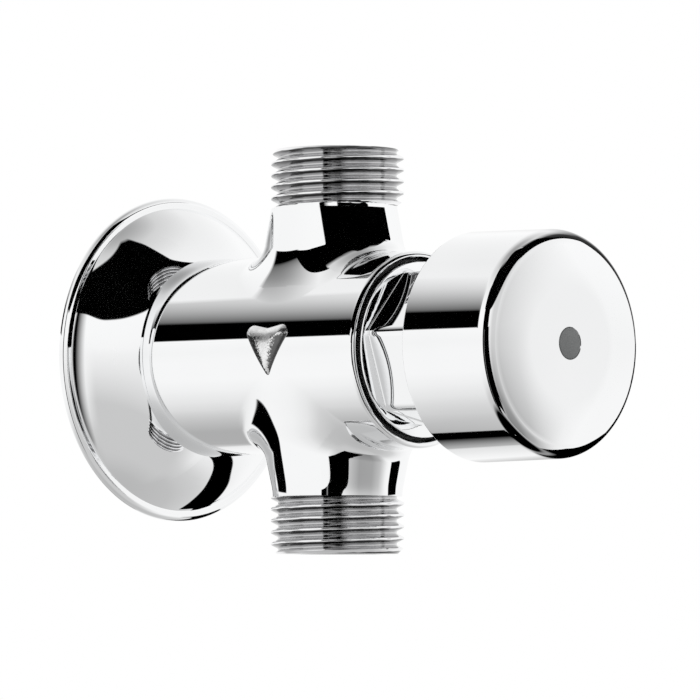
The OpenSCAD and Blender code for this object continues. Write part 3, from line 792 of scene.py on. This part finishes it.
def button_shell():
    """The push button, with its skirt, boss and the recess for the plug."""
    shoulder_r = BUTTON_FRONT_R - BUTTON_ROUND
    shoulder_at = BUTTON_FRONT - FACE_FALL
    dome_run = shoulder_r + BUTTON_ROUND * math.cos(math.radians(DOME_START)) - FACE_FLAT_R
    skirt_r = BUTTON_REAR_R - SKIRT_WALL
    inside_r = BUTTON_FRONT_R - SKIRT_WALL
    lip_r = BUTTON_REAR_R - SKIRT_ROUND
    pocket_r = PLUG_R + PLUG_PLAY
    outline = [(skirt_r + SKIRT_LIP, BUTTON_REAR), (lip_r, BUTTON_REAR)]
    outline += arc((lip_r, BUTTON_REAR + SKIRT_ROUND), SKIRT_ROUND, -60, 0, 4)
    outline += arc((shoulder_r, shoulder_at - BUTTON_ROUND), BUTTON_ROUND, 0, DOME_START, 24)
    for i in range(1, BUTTON_FACE_STEPS + 1):
        left = 1 - i / BUTTON_FACE_STEPS
        outline.append((FACE_FLAT_R + dome_run * left, BUTTON_FRONT - FACE_FALL * left ** 2))
    outline += [
        (PLUG_R + PLUG_POCKET_EDGE[0], BUTTON_FRONT), (pocket_r, BUTTON_FRONT - PLUG_POCKET_EDGE[1]),
        (pocket_r, PLUG_REAR), (LOCK_R, PLUG_REAR), (LOCK_R, LOCK_REAR), (SPINDLE_END_R, LOCK_REAR),
        (SPINDLE_END_R, BUTTON_BOSS_REAR), (BUTTON_BOSS_R, BUTTON_BOSS_REAR),
        (BUTTON_BOSS_R, BUTTON_INSIDE), (inside_r - INSIDE_CHAMFER, BUTTON_INSIDE),
        (inside_r, BUTTON_INSIDE - INSIDE_CHAMFER), (skirt_r, BUTTON_REAR + SKIRT_LIP),
    ]
    return turned("button_cap", outline, BUTTON_STEPS)


def face_plug():
    """The plain grey plug in the middle of the button's face."""
    front = BUTTON_FRONT + PLUG_PROUD
    outline = [(0, PLUG_REAR), (PLUG_R, PLUG_REAR)]
    outline += arc((PLUG_R - PLUG_ROUND, front - PLUG_ROUND_REAR), PLUG_ROUND, 0, 80, 6)
    outline += [(PLUG_R * 0.5, front - PLUG_CROWN), (0, front)]
    return turned("face_plug", outline, PLUG_STEPS)


# Materials

PATTERN_SPAN = (0.3, 0.7)
# Painted shade on the threads: how far a noise shifts it along the thread, and its tones over one pitch
# from a crest.
THREAD_SHADE_JITTER = 0.2
THREAD_SHADE = [
    (0, 0.95), (0.12, 0.9), (0.3, 0.75), (0.5, 0.6), (0.68, 0.35), (0.8, 0.1), (0.9, 0.1), (0.95, 0.95),
]

# The arrow's flanks, where shade is painted into the base colour: half width at the port's axis, tones
# of the painted shade and its grain
HALF_WIDTH = 2.57
HALF_WIDTH_GROWTH = 0.66
HALF_WIDTH_LEAST = 0.3
FLANK_SHIFT = 0.3
FLANK_TOP = 2
FLANK_THINNING = 0.9
FLANK_SHADE_GRAIN = 1.4
FLANK_SPAN = (1.05, 1.23)
FLANK_CROSSING = 0.5
FLANK_SHADE_TONES = (0.16, 0.02)
FACE_TONE = 0.93


def material(name, base, metallic, roughness):
    """A material and its shader, whose plain values sit on the shader's own sockets."""
    made = bpy.data.materials.new(name)
    made.use_nodes = True
    shader = made.node_tree.nodes["Principled BSDF"]
    shader.inputs["Base Color"].default_value = (*base, 1)
    shader.inputs["Metallic"].default_value = metallic
    shader.inputs["Roughness"].default_value = roughness
    return made, shader


def noise(made, scale, detail=2.0, stretch=(1, 1, 1)):
    """A noise on Object coordinates, in metres, stretched along the axes."""
    nodes, links = made.node_tree.nodes, made.node_tree.links
    where = nodes.new("ShaderNodeTexCoord")
    mapping = nodes.new("ShaderNodeMapping")
    mapping.inputs["Scale"].default_value = stretch
    grain = nodes.new("ShaderNodeTexNoise")
    grain.inputs["Scale"].default_value = scale
    grain.inputs["Detail"].default_value = detail
    links.new(where.outputs["Object"], mapping.inputs["Vector"])
    links.new(mapping.outputs["Vector"], grain.inputs["Vector"])
    return grain.outputs["Fac"]


def feed(made, socket, value):
    """Gives a socket a plain number, or links another socket to it."""
    if isinstance(value, (int, float)):
        socket.default_value = value
    else:
        made.node_tree.links.new(value, socket)


def reckon(made, operation, *values):
    """One step of arithmetic on shader values and plain numbers."""
    node = made.node_tree.nodes.new("ShaderNodeMath")
    node.operation = operation
    for socket, value in zip(node.inputs, values):
        feed(made, socket, value)
    return node.outputs["Value"]


def span(made, value, start, end, low=0, high=1):
    """Goes from low to high as a value goes from start to end."""
    node = made.node_tree.nodes.new("ShaderNodeMapRange")
    made.node_tree.links.new(value, node.inputs["Value"])
    feed(made, node.inputs["From Min"], start)
    feed(made, node.inputs["From Max"], end)
    feed(made, node.inputs["To Min"], low)
    feed(made, node.inputs["To Max"], high)
    return node.outputs["Result"]


def tone_ramp(tree, tones, blue=1.0):
    """A ramp of grey tones from (place, tone) pairs; blue above 1 makes them a little cooler."""
    ramp_node = tree.nodes.new("ShaderNodeValToRGB")
    stops = ramp_node.color_ramp.elements
    stops.remove(stops[1])
    for i, (place, tone) in enumerate(tones):
        stop = stops[0] if i == 0 else stops.new(place)
        stop.position = place
        stop.color = (tone, tone, tone * blue, 1)
    return ramp_node


def place_on_part(made):
    """The X, Y and Z sockets of a point's place on the part, in metres."""
    where = made.node_tree.nodes.new("ShaderNodeTexCoord")
    split = made.node_tree.nodes.new("ShaderNodeSeparateXYZ")
    made.node_tree.links.new(where.outputs["Object"], split.inputs[0])
    return split.outputs


def vary(made, value, low, high, socket):
    """Drives a shader's socket from a pattern, between two values."""
    made.node_tree.links.new(span(made, value, *PATTERN_SPAN, low, high), socket)


def tint(made, value, dark, light, shader):
    """Blends the base colour between two tones by a pattern."""
    blend = made.node_tree.nodes.new("ShaderNodeValToRGB")
    for stop, place, colour in zip(blend.color_ramp.elements, PATTERN_SPAN, (dark, light)):
        stop.position = place
        stop.color = (*colour, 1)
    made.node_tree.links.new(value, blend.inputs["Fac"])
    made.node_tree.links.new(blend.outputs["Color"], shader.inputs["Base Color"])


def raise_grain(made, value, height, strength, shader):
    """Bumps the surface by a pattern; height is in millimetres."""
    bump = made.node_tree.nodes.new("ShaderNodeBump")
    bump.inputs["Distance"].default_value = height * MM
    bump.inputs["Strength"].default_value = strength
    made.node_tree.links.new(value, bump.inputs["Height"])
    made.node_tree.links.new(bump.outputs["Normal"], shader.inputs["Normal"])


def polished_chrome():
    """Bright plating with a faint unevenness in its gloss."""
    made, shader = material("polished_chrome", (0.95, 0.955, 0.96), 1, 0.03)
    vary(made, noise(made, 90), 0.015, 0.04, shader.inputs["Roughness"])
    tint(made, noise(made, 60), (0.94, 0.945, 0.95), (0.96, 0.965, 0.97), shader)
    return made


def thread_chrome(name, crest_at_zero):
    """Chrome with painted shade: its base colour is bright on the crests of a thread and dark just
    below them.
    """
    made, shader = material(name, (0.9, 0.905, 0.91), 1, 0.1)
    vary(made, noise(made, 700, 3, (1, 1, 4)), 0.03, 0.07, shader.inputs["Roughness"])
    raise_grain(made, noise(made, 900, 3, (1, 1, 7)), 0.012, 0.4, shader)
    x, y, z = place_on_part(made)
    angle = reckon(made, "ARCTAN2", reckon(made, "ADD", y, PORT_AXIS * MM), x)
    turns = reckon(made, "MULTIPLY", angle, -1 / (2 * math.pi))
    height = reckon(made, "MULTIPLY_ADD", z, 1 / (PITCH * MM), -crest_at_zero / PITCH)
    phase = reckon(made, "ADD", height, turns)
    # A noise shifts where the painted shade falls.
    jittered_phase = reckon(made, "MULTIPLY_ADD", noise(made, 300, 3, (1, 1, 5)), THREAD_SHADE_JITTER, phase)
    place = reckon(made, "FRACT", reckon(made, "SUBTRACT", jittered_phase, THREAD_SHADE_JITTER / 2))
    shade = tone_ramp(made.node_tree, THREAD_SHADE, blue=1.01)
    made.node_tree.links.new(place, shade.inputs["Fac"])
    made.node_tree.links.new(shade.outputs["Color"], shader.inputs["Base Color"])
    return made


def cast_chrome():
    """Chrome over a rough casting, with painted shade: dark and grainy on the arrow's lower flanks.

    The flanks are found from how far a point lies from the arrow's middle line, as a share of the
    half width that the arrow has at its height; above FLANK_TOP they thin out.
    """
    made, shader = material("cast_chrome", (0.9, 0.905, 0.91), 1, 0.1)
    vary(made, noise(made, 1200, 3), 0.25, 0.4, shader.inputs["Roughness"])
    raise_grain(made, noise(made, 3200, 3), 0.04, 0.4, shader)
    _, y, z = place_on_part(made)
    across = reckon(made, "ADD", y, (PORT_AXIS - ARROW_OFF + FLANK_SHIFT) * MM)
    far = reckon(made, "ABSOLUTE", across)
    half = reckon(made, "MULTIPLY_ADD", z, HALF_WIDTH_GROWTH, HALF_WIDTH * MM)
    share = reckon(made, "DIVIDE", far, reckon(made, "MAXIMUM", half, HALF_WIDTH_LEAST * MM))
    above = reckon(made, "MAXIMUM", reckon(made, "SUBTRACT", z, FLANK_TOP * MM), 0)
    lowered = reckon(made, "MULTIPLY_ADD", above, -FLANK_THINNING / MM, share)
    grainy_shade_share = reckon(made, "MULTIPLY_ADD", noise(made, 4200, 3), FLANK_SHADE_GRAIN, lowered)
    # Painted shade: the base colour goes dark on the arrow's lower flanks with a grainy edge, darker on
    # one side of its middle line than the other.
    painted_flank_shade = span(made, grainy_shade_share, *FLANK_SPAN)
    side = span(made, across, -FLANK_CROSSING * MM, FLANK_CROSSING * MM, *FLANK_SHADE_TONES)
    tone = span(made, painted_flank_shade, 0, 1, FACE_TONE, side)
    made.node_tree.links.new(tone, shader.inputs["Base Color"])
    return made


def machined(name, dark, light, rough):
    """Turned metal, with fine tool marks round the main axis."""
    made, shader = material(name, light, 1, rough)
    vary(made, noise(made, 500, 3, (1, 5, 1)), rough * 0.7, rough * 1.3, shader.inputs["Roughness"])
    tint(made, noise(made, 350, 2, (1, 4, 1)), dark, light, shader)
    raise_grain(made, noise(made, 900, 2, (1, 8, 1)), 0.01, 0.4, shader)
    return made


def moulded(name, dark, light, rough, grain):
    """Moulded plastic or rubber with a fine grain."""
    made, shader = material(name, light, 0, rough)
    vary(made, noise(made, 600, 3), rough * 0.85, rough * 1.15, shader.inputs["Roughness"])
    tint(made, noise(made, 250, 2), dark, light, shader)
    raise_grain(made, noise(made, grain, 3), 0.01, 0.4, shader)
    return made


CHROME = polished_chrome()
INLET_THREAD = thread_chrome("inlet_thread_chrome", INLET_CREST)
OUTLET_THREAD = thread_chrome("outlet_thread_chrome", OUTLET_CREST)
CAST = cast_chrome()
BRASS = machined("brass", (0.72, 0.56, 0.24), (0.84, 0.68, 0.33), 0.22)
STEEL = machined("stainless_steel", (0.58, 0.59, 0.6), (0.7, 0.71, 0.72), 0.25)
ACETAL = moulded("acetal", (0.82, 0.81, 0.76), (0.88, 0.87, 0.82), 0.4, 1500)
RUBBER = moulded("black_rubber", (0.02, 0.02, 0.02), (0.035, 0.035, 0.035), 0.6, 1800)
GREY = moulded("grey_plastic", (0.135, 0.14, 0.14), (0.16, 0.165, 0.165), 0.45, 2500)
SLOT_MATERIALS = {
    "polished_chrome": CHROME, "brass": BRASS, "stainless_steel": STEEL,
    "acetal": ACETAL, "black_rubber": RUBBER, "grey_plastic": GREY,
}


def dress_nodes():
    """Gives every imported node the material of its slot."""
    slots = {row["node"]: row["material_slot"] for row in frame["record"]["subparts"]}
    for name, node in frame["nodes"].items():
        node.data.materials.clear()
        node.data.materials.append(SLOT_MATERIALS[slots[name]])


# Studio

STUDIO_CENTRE = Vector((0, -40, 0))

# Tone of the surroundings at elevations in degrees
SKY = [
    (-90, 0.48), (-60, 0.54), (-45, 0.66), (-36, 0.83), (-28, 0.92), (-20, 0.97), (-5, 0.97), (3, 0.95),
    (12, 0.98), (25, 1.0), (48, 0.9), (66, 0.68), (90, 0.35),
]
FLOOR_DROP = 260.0
FLOOR_SIZE = 900.0
FLOOR_STEPS = 96
FLOOR_FADE = (0.25, 0.98)
FLOOR_EDGE_GLOW = 0.95
SOFT_LIGHT = 0.7


def direction(azimuth, elevation):
    """Unit vector; azimuth 0 looks out towards -Y and grows towards +X."""
    a, e = math.radians(azimuth), math.radians(elevation)
    return Vector((math.sin(a) * math.cos(e), -math.cos(a) * math.cos(e), math.sin(e)))


def sky_tone(elevation):
    """Tone of the surroundings at an elevation, from the table of the sky."""
    return float(np.interp(elevation, [row[0] for row in SKY], [row[1] for row in SKY]))


# Panels that only show in the chrome, found from what it mirrors in the photograph

PANEL_STEP = 2.0
PANEL_ROWS = 13
CORNER_ROUND = 5.0
CORNER_SAMPLES = 9
GREY_PANELS = []


def panel_light(name):
    """A material that gives off its mesh's tone, and lets the rest through by its mesh's cover."""
    made = bpy.data.materials.new(name)
    made.use_nodes = True
    tree = made.node_tree
    tree.nodes.clear()
    out = tree.nodes.new("ShaderNodeOutputMaterial")
    glow = tree.nodes.new("ShaderNodeEmission")
    clear = tree.nodes.new("ShaderNodeBsdfTransparent")
    both = tree.nodes.new("ShaderNodeMixShader")
    tone = tree.nodes.new("ShaderNodeAttribute")
    tone.attribute_name = "tone"
    cover = tree.nodes.new("ShaderNodeAttribute")
    cover.attribute_name = "cover"
    tree.links.new(tone.outputs["Fac"], glow.inputs["Strength"])
    tree.links.new(cover.outputs["Fac"], both.inputs["Fac"])
    tree.links.new(clear.outputs[0], both.inputs[1])
    tree.links.new(glow.outputs["Emission"], both.inputs[2])
    tree.links.new(both.outputs[0], out.inputs["Surface"])
    return made


def rounded(azimuth, keys, values):
    """Value between the keys at an azimuth, with the corners rounded off."""
    around = azimuth + np.linspace(-CORNER_ROUND, CORNER_ROUND, CORNER_SAMPLES)
    return float(np.mean(np.interp(around, keys, values)))


def panel_edges(panel, azimuth):
    """Lowest and highest elevation of a panel at an azimuth."""
    keys = [c[0] for c in panel["columns"]]
    return [rounded(azimuth, keys, [c[i] for c in panel["columns"]]) for i in (1, 2)]


def panel_cover(panel, azimuth, elevation):
    """How much a panel hides at an azimuth and elevation, from 0 to 1."""
    low, high = panel_edges(panel, azimuth)
    share = (elevation - low) / max(high - low, 0.01)
    shares, covers = zip(*panel["fade"])
    cover = float(np.interp(share, shares, covers, left=0, right=0))
    inward = (azimuth - panel["columns"][0][0], panel["columns"][-1][0] - azimuth)
    for way, width in zip(inward, panel["ends"]):
        cover *= min(max(way / width, 0), 1) if width else float(way >= 0)
    return cover


def surround_tone(azimuth, elevation):
    """Tone of the surroundings with the grey panels in them."""
    tone = sky_tone(elevation)
    for panel in GREY_PANELS:
        tone += (panel["tone"] - tone) * panel_cover(panel, azimuth, elevation)
    return tone


def flag(name, columns, distance, tone=0.0, fade=((0, 1), (1, 1)), ends=(0, 0), only=None):
    """A panel that only shows in the chrome, bent round the object.

    Each column is (azimuth, lowest, highest elevation). fade gives its cover at shares of its height,
    and ends how many degrees its first and last columns take to fade. With only, it is dark for the
    named pieces and has the tone of the surroundings for all others.
    """
    panel = {"columns": columns, "tone": tone, "fade": fade, "ends": ends}
    first, last = columns[0][0], columns[-1][0]
    corners = [first + ends[0], last - ends[1], last]
    azimuths = np.unique(np.concatenate([np.arange(first, last, PANEL_STEP), corners]))
    shares = sorted({share for share, _ in fade} | set(np.linspace(0, 1, PANEL_ROWS)))
    bm = bmesh.new()
    tones = bm.verts.layers.float.new("tone")
    covers = bm.verts.layers.float.new("cover")
    rows = []
    for azimuth in azimuths:
        low, high = panel_edges(panel, azimuth)
        row = []
        for share in shares:
            elevation = low + (high - low) * share
            vert = bm.verts.new(STUDIO_CENTRE + direction(azimuth, elevation) * distance)
            vert[tones] = surround_tone(azimuth, elevation) if only else tone
            vert[covers] = panel_cover(panel, azimuth, min(max(elevation, low), high))
            row.append(vert)
        rows.append(row)
    for left, right in zip(rows, rows[1:]):
        for i in range(len(left) - 1):
            bm.faces.new((left[i], right[i], right[i + 1], left[i + 1]))
    made = finish_mesh(bm, name)
    made.data.materials.append(panel_light(name))
    made.visible_camera = False
    made.visible_diffuse = False
    made.visible_shadow = False
    made.visible_transmission = False
    if tone:
        GREY_PANELS.append(panel)
    if only:
        lit = bpy.data.collections.new(name + "_lit")
        for piece in bpy.context.scene.objects:
            if piece.type == "MESH" and piece.name not in only:
                lit.objects.link(piece)
        made.light_linking.receiver_collection = lit


BODY = ("body_casting", "flow_arrow")
ARROW = ("flow_arrow",)
THREADS = ("inlet_thread", "outlet_thread")
BUTTON = ("button_cap",)
ROSE = ("rose_shell",)

# Cover of a panel at shares of its height
SOFT = ((0, 0), (0.25, 1), (0.75, 1), (1, 0))
CRISP = ((0, 0), (0.04, 1), (0.96, 1), (1, 0))
FADES_UP = ((0, 1), (0.85, 1), (1, 0))

# Distances of the panels: a nearer one hides the farther ones behind it
GREY_FAR, BUTTON_FAR, STRIP_FAR, DARK_FAR, MIDDLE, NEAR = 720.0, 700.0, 690.0, 680.0, 660.0, 640.0


def floor_flags():
    """Grey panels low in front of the object and low behind it."""
    flag("low_front", [(-62, -75, 6), (45, -75, 6)], GREY_FAR, tone=0.6,
         fade=((0, 0), (0.2, 1), (0.6, 1), (1, 0)), ends=(14, 14))
    flag("low_rear", [(147, -56, -30), (203, -56, -32)], GREY_FAR, tone=0.44, fade=SOFT, ends=(2, 30))


def neck_flags():
    """Dark panels round the necks, for the casting, its arrow and the button."""
    flag("neck_over", [
        (-126, 12, 60), (-118, 15, 64), (-104, 21, 70), (-84, 20, 74), (-74, 18.5, 76),
    ], DARK_FAR, fade=FADES_UP, only=BODY)
    flag("neck_corner", [(-84, 6, 15.2), (-74, 6, 18.8)], DARK_FAR, only=BODY)
    flag("neck_over_shared", [(-74, 11, 76), (-36, 11, 77)], DARK_FAR,
         fade=FADES_UP, only=BODY + BUTTON)
    flag("neck_over_front", [(-36, 11, 77), (0, 11, 78), (24, 13, 78)], DARK_FAR,
         fade=FADES_UP, only=BODY)
    flag("neck_over_low", [(24, 13, 26.5), (50, 14, 26.5), (63, 14, 26)], DARK_FAR, only=BODY)
    flag("neck_over_end", [(24, 26, 76), (50, 26, 66)], DARK_FAR,
         fade=((0, 1), (0.7, 1), (1, 0)), only=BODY + BUTTON)
    flag("neck_left", [(-176, -26, -5), (-148, -26, -5)], DARK_FAR, fade=CRISP, ends=(2, 1), only=BODY)
    flag("neck_right", [(55, -17, -3), (80, -17, -3)], MIDDLE, fade=CRISP, ends=(0.5, 0), only=BODY)
    flag("button_side", [(80, -24, -3), (94, -24, -3)], MIDDLE, fade=CRISP, ends=(0, 0.5), only=BUTTON)
    flag("arrow_left", [(147, -14, 10), (203, -14, 10)], BUTTON_FAR, only=ARROW)


def strip_flags():
    """Dark strips beside the camera and below it, most of them for single pieces."""
    flag("strip", [(-75, -13, 48), (-57, -24, 48)], NEAR, fade=((0, 1), (0.9, 1), (1, 0)), ends=(1, 9))
    flag("strip_low", [(-75, -60, -13), (-57, -60, -24)], NEAR,
         fade=((0, 0), (0.2, 1), (1, 1)), ends=(1, 9), only=ROSE + BUTTON)
    flag("shared_strip", [
        (-63, -20, 11), (-54, -25, 11), (-48, -33, 11), (-45, -45, 11), (-41, -50, 11),
    ], DARK_FAR, only=BODY + THREADS + BUTTON)
    flag("button_strip", [
        (-63, -60, -20), (-54, -60, -25), (-48, -60, -33), (-45, -60, -45), (-41, -60, -50),
    ], DARK_FAR, only=BUTTON)
    flag("neck_strip", [(-41, -50, 11), (-40, -50, -9), (-28, -50, -20), (-20, -50, -30)], DARK_FAR,
         only=BODY + THREADS + BUTTON)
    flag("neck_strip_end", [(-20, -50, -30), (-15, -50, -37), (-2, -50, -48)], DARK_FAR,
         only=BODY + THREADS)
    flag("button_inner", [
        (-41, -12, 28), (-36, -16, 27), (-33, -24, 16), (-29, -28, 0), (-22, -32, -20), (-14, -56, -36),
    ], BUTTON_FAR, only=BUTTON)
    flag("thread_strip", [(-42, -3, 11), (-24, -3, 11)], STRIP_FAR, ends=(0, 17), only=THREADS + BUTTON)
    flag("thread_right", [(47, -3, 11), (62, -3, 11)], DARK_FAR, ends=(5, 5), only=THREADS)
    flag("button_floor", [(-180, -89, -54), (180, -89, -54)], BUTTON_FAR,
         fade=((0, 1), (0.75, 1), (1, 0)), only=BUTTON)


def button_flags():
    """Panels for the button, some of which the casting or the rose mirrors too."""
    flag("button_below", [(150, -64, -16), (175, -64, -16)], DARK_FAR,
         fade=CRISP, ends=(13, 1), only=BUTTON)
    flag("button_dome", [(-34, -54, 56), (50, -54, 56)], MIDDLE,
         fade=((0, 0.6), (0.3, 0.45), (0.5, 0.3), (0.7, 0.33), (1, 0.45)), ends=(26, 34),
         only=BODY + BUTTON)
    flag("button_over", [
        (50, 27, 62), (60, 22, 62), (70, 16, 62), (76, 10, 60), (80, 3, 58), (134, 3, 40),
    ], BUTTON_FAR, fade=((0, 1), (0.6, 0.95), (1, 0)), ends=(0, 40), only=BUTTON)
    flag("button_under", [
        (50, -60, -22), (60, -60, -18), (70, -60, -12), (76, -60, -6), (80, -60, 3), (134, -60, 3),
    ], DARK_FAR, fade=((0, 0), (0.2, 1), (1, 1)), ends=(0, 10), only=BUTTON)
    flag("rose_low_right", [
        (54, -30, -27), (66, -35, -25), (75, -40, -26.5), (88, -44, -29.5), (95, -46, -29),
        (112, -48, -27), (126, -48, -25),
    ], MIDDLE, fade=CRISP, only=ROSE + BUTTON)


def room_flags():
    """The two large dark panels that the whole object mirrors."""
    flag("left", [(-160, 12, 48), (-118, 12, 48)], NEAR,
         fade=((0, 0), (0.02, 1), (0.36, 1), (0.41, 0.84), (0.6, 0.55), (0.8, 0.25), (1, 0)),
         ends=(4, 4))
    flag("over", [
        (-79, 30, 46), (-75, 28, 52), (-60, 28, 60), (-42, 23, 68), (-21, 22, 80), (8, 22, 80),
        (24, 29, 66), (27, 32, 50), (42, 32, 38), (58, 29, 32),
    ], NEAR, fade=((0, 0), (0.015, 1), (0.95, 1), (1, 0)), ends=(0.5, 2))


def background(tree, strength):
    """White light from all around."""
    node = tree.nodes.new("ShaderNodeBackground")
    node.inputs["Color"].default_value = (1, 1, 1, 1)
    node.inputs["Strength"].default_value = strength
    return node


def make_world():
    """White for the camera, the sky's tones for the chrome, and a softer light on all else."""
    world = bpy.data.worlds.new("studio")
    bpy.context.scene.world = world
    world.use_nodes = True
    tree = world.node_tree
    tree.nodes.clear()
    out = tree.nodes.new("ShaderNodeOutputWorld")
    path = tree.nodes.new("ShaderNodeLightPath")
    where = tree.nodes.new("ShaderNodeTexCoord")
    split = tree.nodes.new("ShaderNodeSeparateXYZ")
    height = tree.nodes.new("ShaderNodeMapRange")
    height.inputs["From Min"].default_value = -1
    sky = tone_ramp(tree, [((math.sin(math.radians(e)) + 1) / 2, tone) for e, tone in SKY])
    seen = tree.nodes.new("ShaderNodeMixShader")
    mirrored = tree.nodes.new("ShaderNodeMixShader")
    soft = background(tree, SOFT_LIGHT)
    white = background(tree, 1)
    around = background(tree, 1)
    tree.links.new(where.outputs["Generated"], split.inputs[0])
    tree.links.new(split.outputs["Z"], height.inputs["Value"])
    tree.links.new(height.outputs["Result"], sky.inputs["Fac"])
    tree.links.new(sky.outputs["Color"], around.inputs["Color"])
    tree.links.new(path.outputs["Is Glossy Ray"], mirrored.inputs["Fac"])
    tree.links.new(soft.outputs[0], mirrored.inputs[1])
    tree.links.new(around.outputs[0], mirrored.inputs[2])
    tree.links.new(path.outputs["Is Camera Ray"], seen.inputs["Fac"])
    tree.links.new(mirrored.outputs[0], seen.inputs[1])
    tree.links.new(white.outputs[0], seen.inputs[2])
    tree.links.new(seen.outputs[0], out.inputs["Surface"])


def make_floor():
    """A pale round floor that keeps the shadow and fades to white at its edge."""
    bm = bmesh.new()
    bmesh.ops.create_circle(bm, cap_ends=True, segments=FLOOR_STEPS, radius=FLOOR_SIZE)
    bmesh.ops.translate(bm, vec=(0, STUDIO_CENTRE.y, -FLOOR_DROP), verts=bm.verts)
    floor = finish_mesh(bm, "floor")
    made, shader = material("pale_floor", (0.62, 0.62, 0.62), 0, 0.6)
    tree = made.node_tree
    where = tree.nodes.new("ShaderNodeTexCoord")
    flat = tree.nodes.new("ShaderNodeMapping")
    flat.inputs["Location"].default_value = (0, -STUDIO_CENTRE.y * MM, FLOOR_DROP * MM)
    far = tree.nodes.new("ShaderNodeVectorMath")
    far.operation = "LENGTH"
    fade = tree.nodes.new("ShaderNodeMapRange")
    fade.inputs["From Min"].default_value = FLOOR_FADE[0] * FLOOR_SIZE * MM
    fade.inputs["From Max"].default_value = FLOOR_FADE[1] * FLOOR_SIZE * MM
    glow = tree.nodes.new("ShaderNodeEmission")
    glow.inputs["Strength"].default_value = FLOOR_EDGE_GLOW
    both = tree.nodes.new("ShaderNodeMixShader")
    out = tree.nodes["Material Output"]
    tree.links.new(where.outputs["Object"], flat.inputs["Vector"])
    tree.links.new(flat.outputs["Vector"], far.inputs[0])
    tree.links.new(far.outputs["Value"], fade.inputs["Value"])
    tree.links.new(fade.outputs["Result"], both.inputs["Fac"])
    tree.links.new(shader.outputs["BSDF"], both.inputs[1])
    tree.links.new(glow.outputs["Emission"], both.inputs[2])
    tree.links.new(both.outputs[0], out.inputs["Surface"])
    floor.data.materials.append(made)
    floor.visible_glossy = False


def make_lamp(name, azimuth, elevation, distance, size, power):
    """A round lamp that faces the object, with its size in millimetres and its power in watts."""
    lamp = bpy.data.lights.new(name, "AREA")
    lamp.shape = "DISK"
    lamp.size = size * MM
    lamp.energy = power
    placed = bpy.data.objects.new(name, lamp)
    back = direction(azimuth, elevation)
    placed.location = (STUDIO_CENTRE + back * distance) * MM
    placed.rotation_euler = back.to_track_quat("Z", "Y").to_euler()
    placed.visible_glossy = False
    bpy.context.scene.collection.objects.link(placed)


def make_camera():
    """The camera at the photograph's viewing angle."""
    camera = bpy.data.objects.new("camera", bpy.data.cameras.new("camera"))
    camera.data.lens = CAMERA_LENS
    camera.data.sensor_width = SENSOR_WIDTH
    camera.data.clip_start = 0.01
    camera.data.clip_end = 100
    back = direction(CAMERA_AZIMUTH, CAMERA_ELEVATION)
    camera.location = (Vector(LOOK_AT) + back * CAMERA_DISTANCE) * MM
    camera.rotation_euler = back.to_track_quat("Z", "Y").to_euler()
    bpy.context.scene.collection.objects.link(camera)
    bpy.context.scene.camera = camera


make_camera()
bpy.context.scene.view_settings.view_transform = "Standard"
make_world()
make_floor()
make_lamp("key", azimuth=-100, elevation=55, distance=900, size=700, power=3)
make_lamp("fill", azimuth=60, elevation=35, distance=900, size=800, power=1.5)

dress_nodes()
dress(valve_casting(), "valve", "polished_chrome", CHROME, "valve_body")
inlet = port_thread("inlet_thread", 1, INLET_END, INLET_CREST, INLET_SHOULDER, INLET_RUN_IN)
outlet = port_thread("outlet_thread", -1, OUTLET_END, OUTLET_CREST, OUTLET_SHOULDER, OUTLET_RUN_IN)
dress(inlet, "valve", "polished_chrome", INLET_THREAD)
dress(outlet, "valve", "polished_chrome", OUTLET_THREAD)
dress(port_lining("inlet_lining", 1), "valve", "polished_chrome", CHROME)
dress(port_lining("outlet_lining", -1), "valve", "polished_chrome", CHROME)
dress(flow_arrow(), "valve", "polished_chrome", CAST)
dress(rose(), "valve", "polished_chrome", CHROME, "wall_rose")
dress(bonnet(), "valve", "polished_chrome", CHROME, "bonnet")
dress(button_shell(), "plunger", "polished_chrome", CHROME, "push_button")
dress(face_plug(), "plunger", "grey_plastic", GREY, "button_plug")

floor_flags()
neck_flags()
strip_flags()
button_flags()
room_flags()
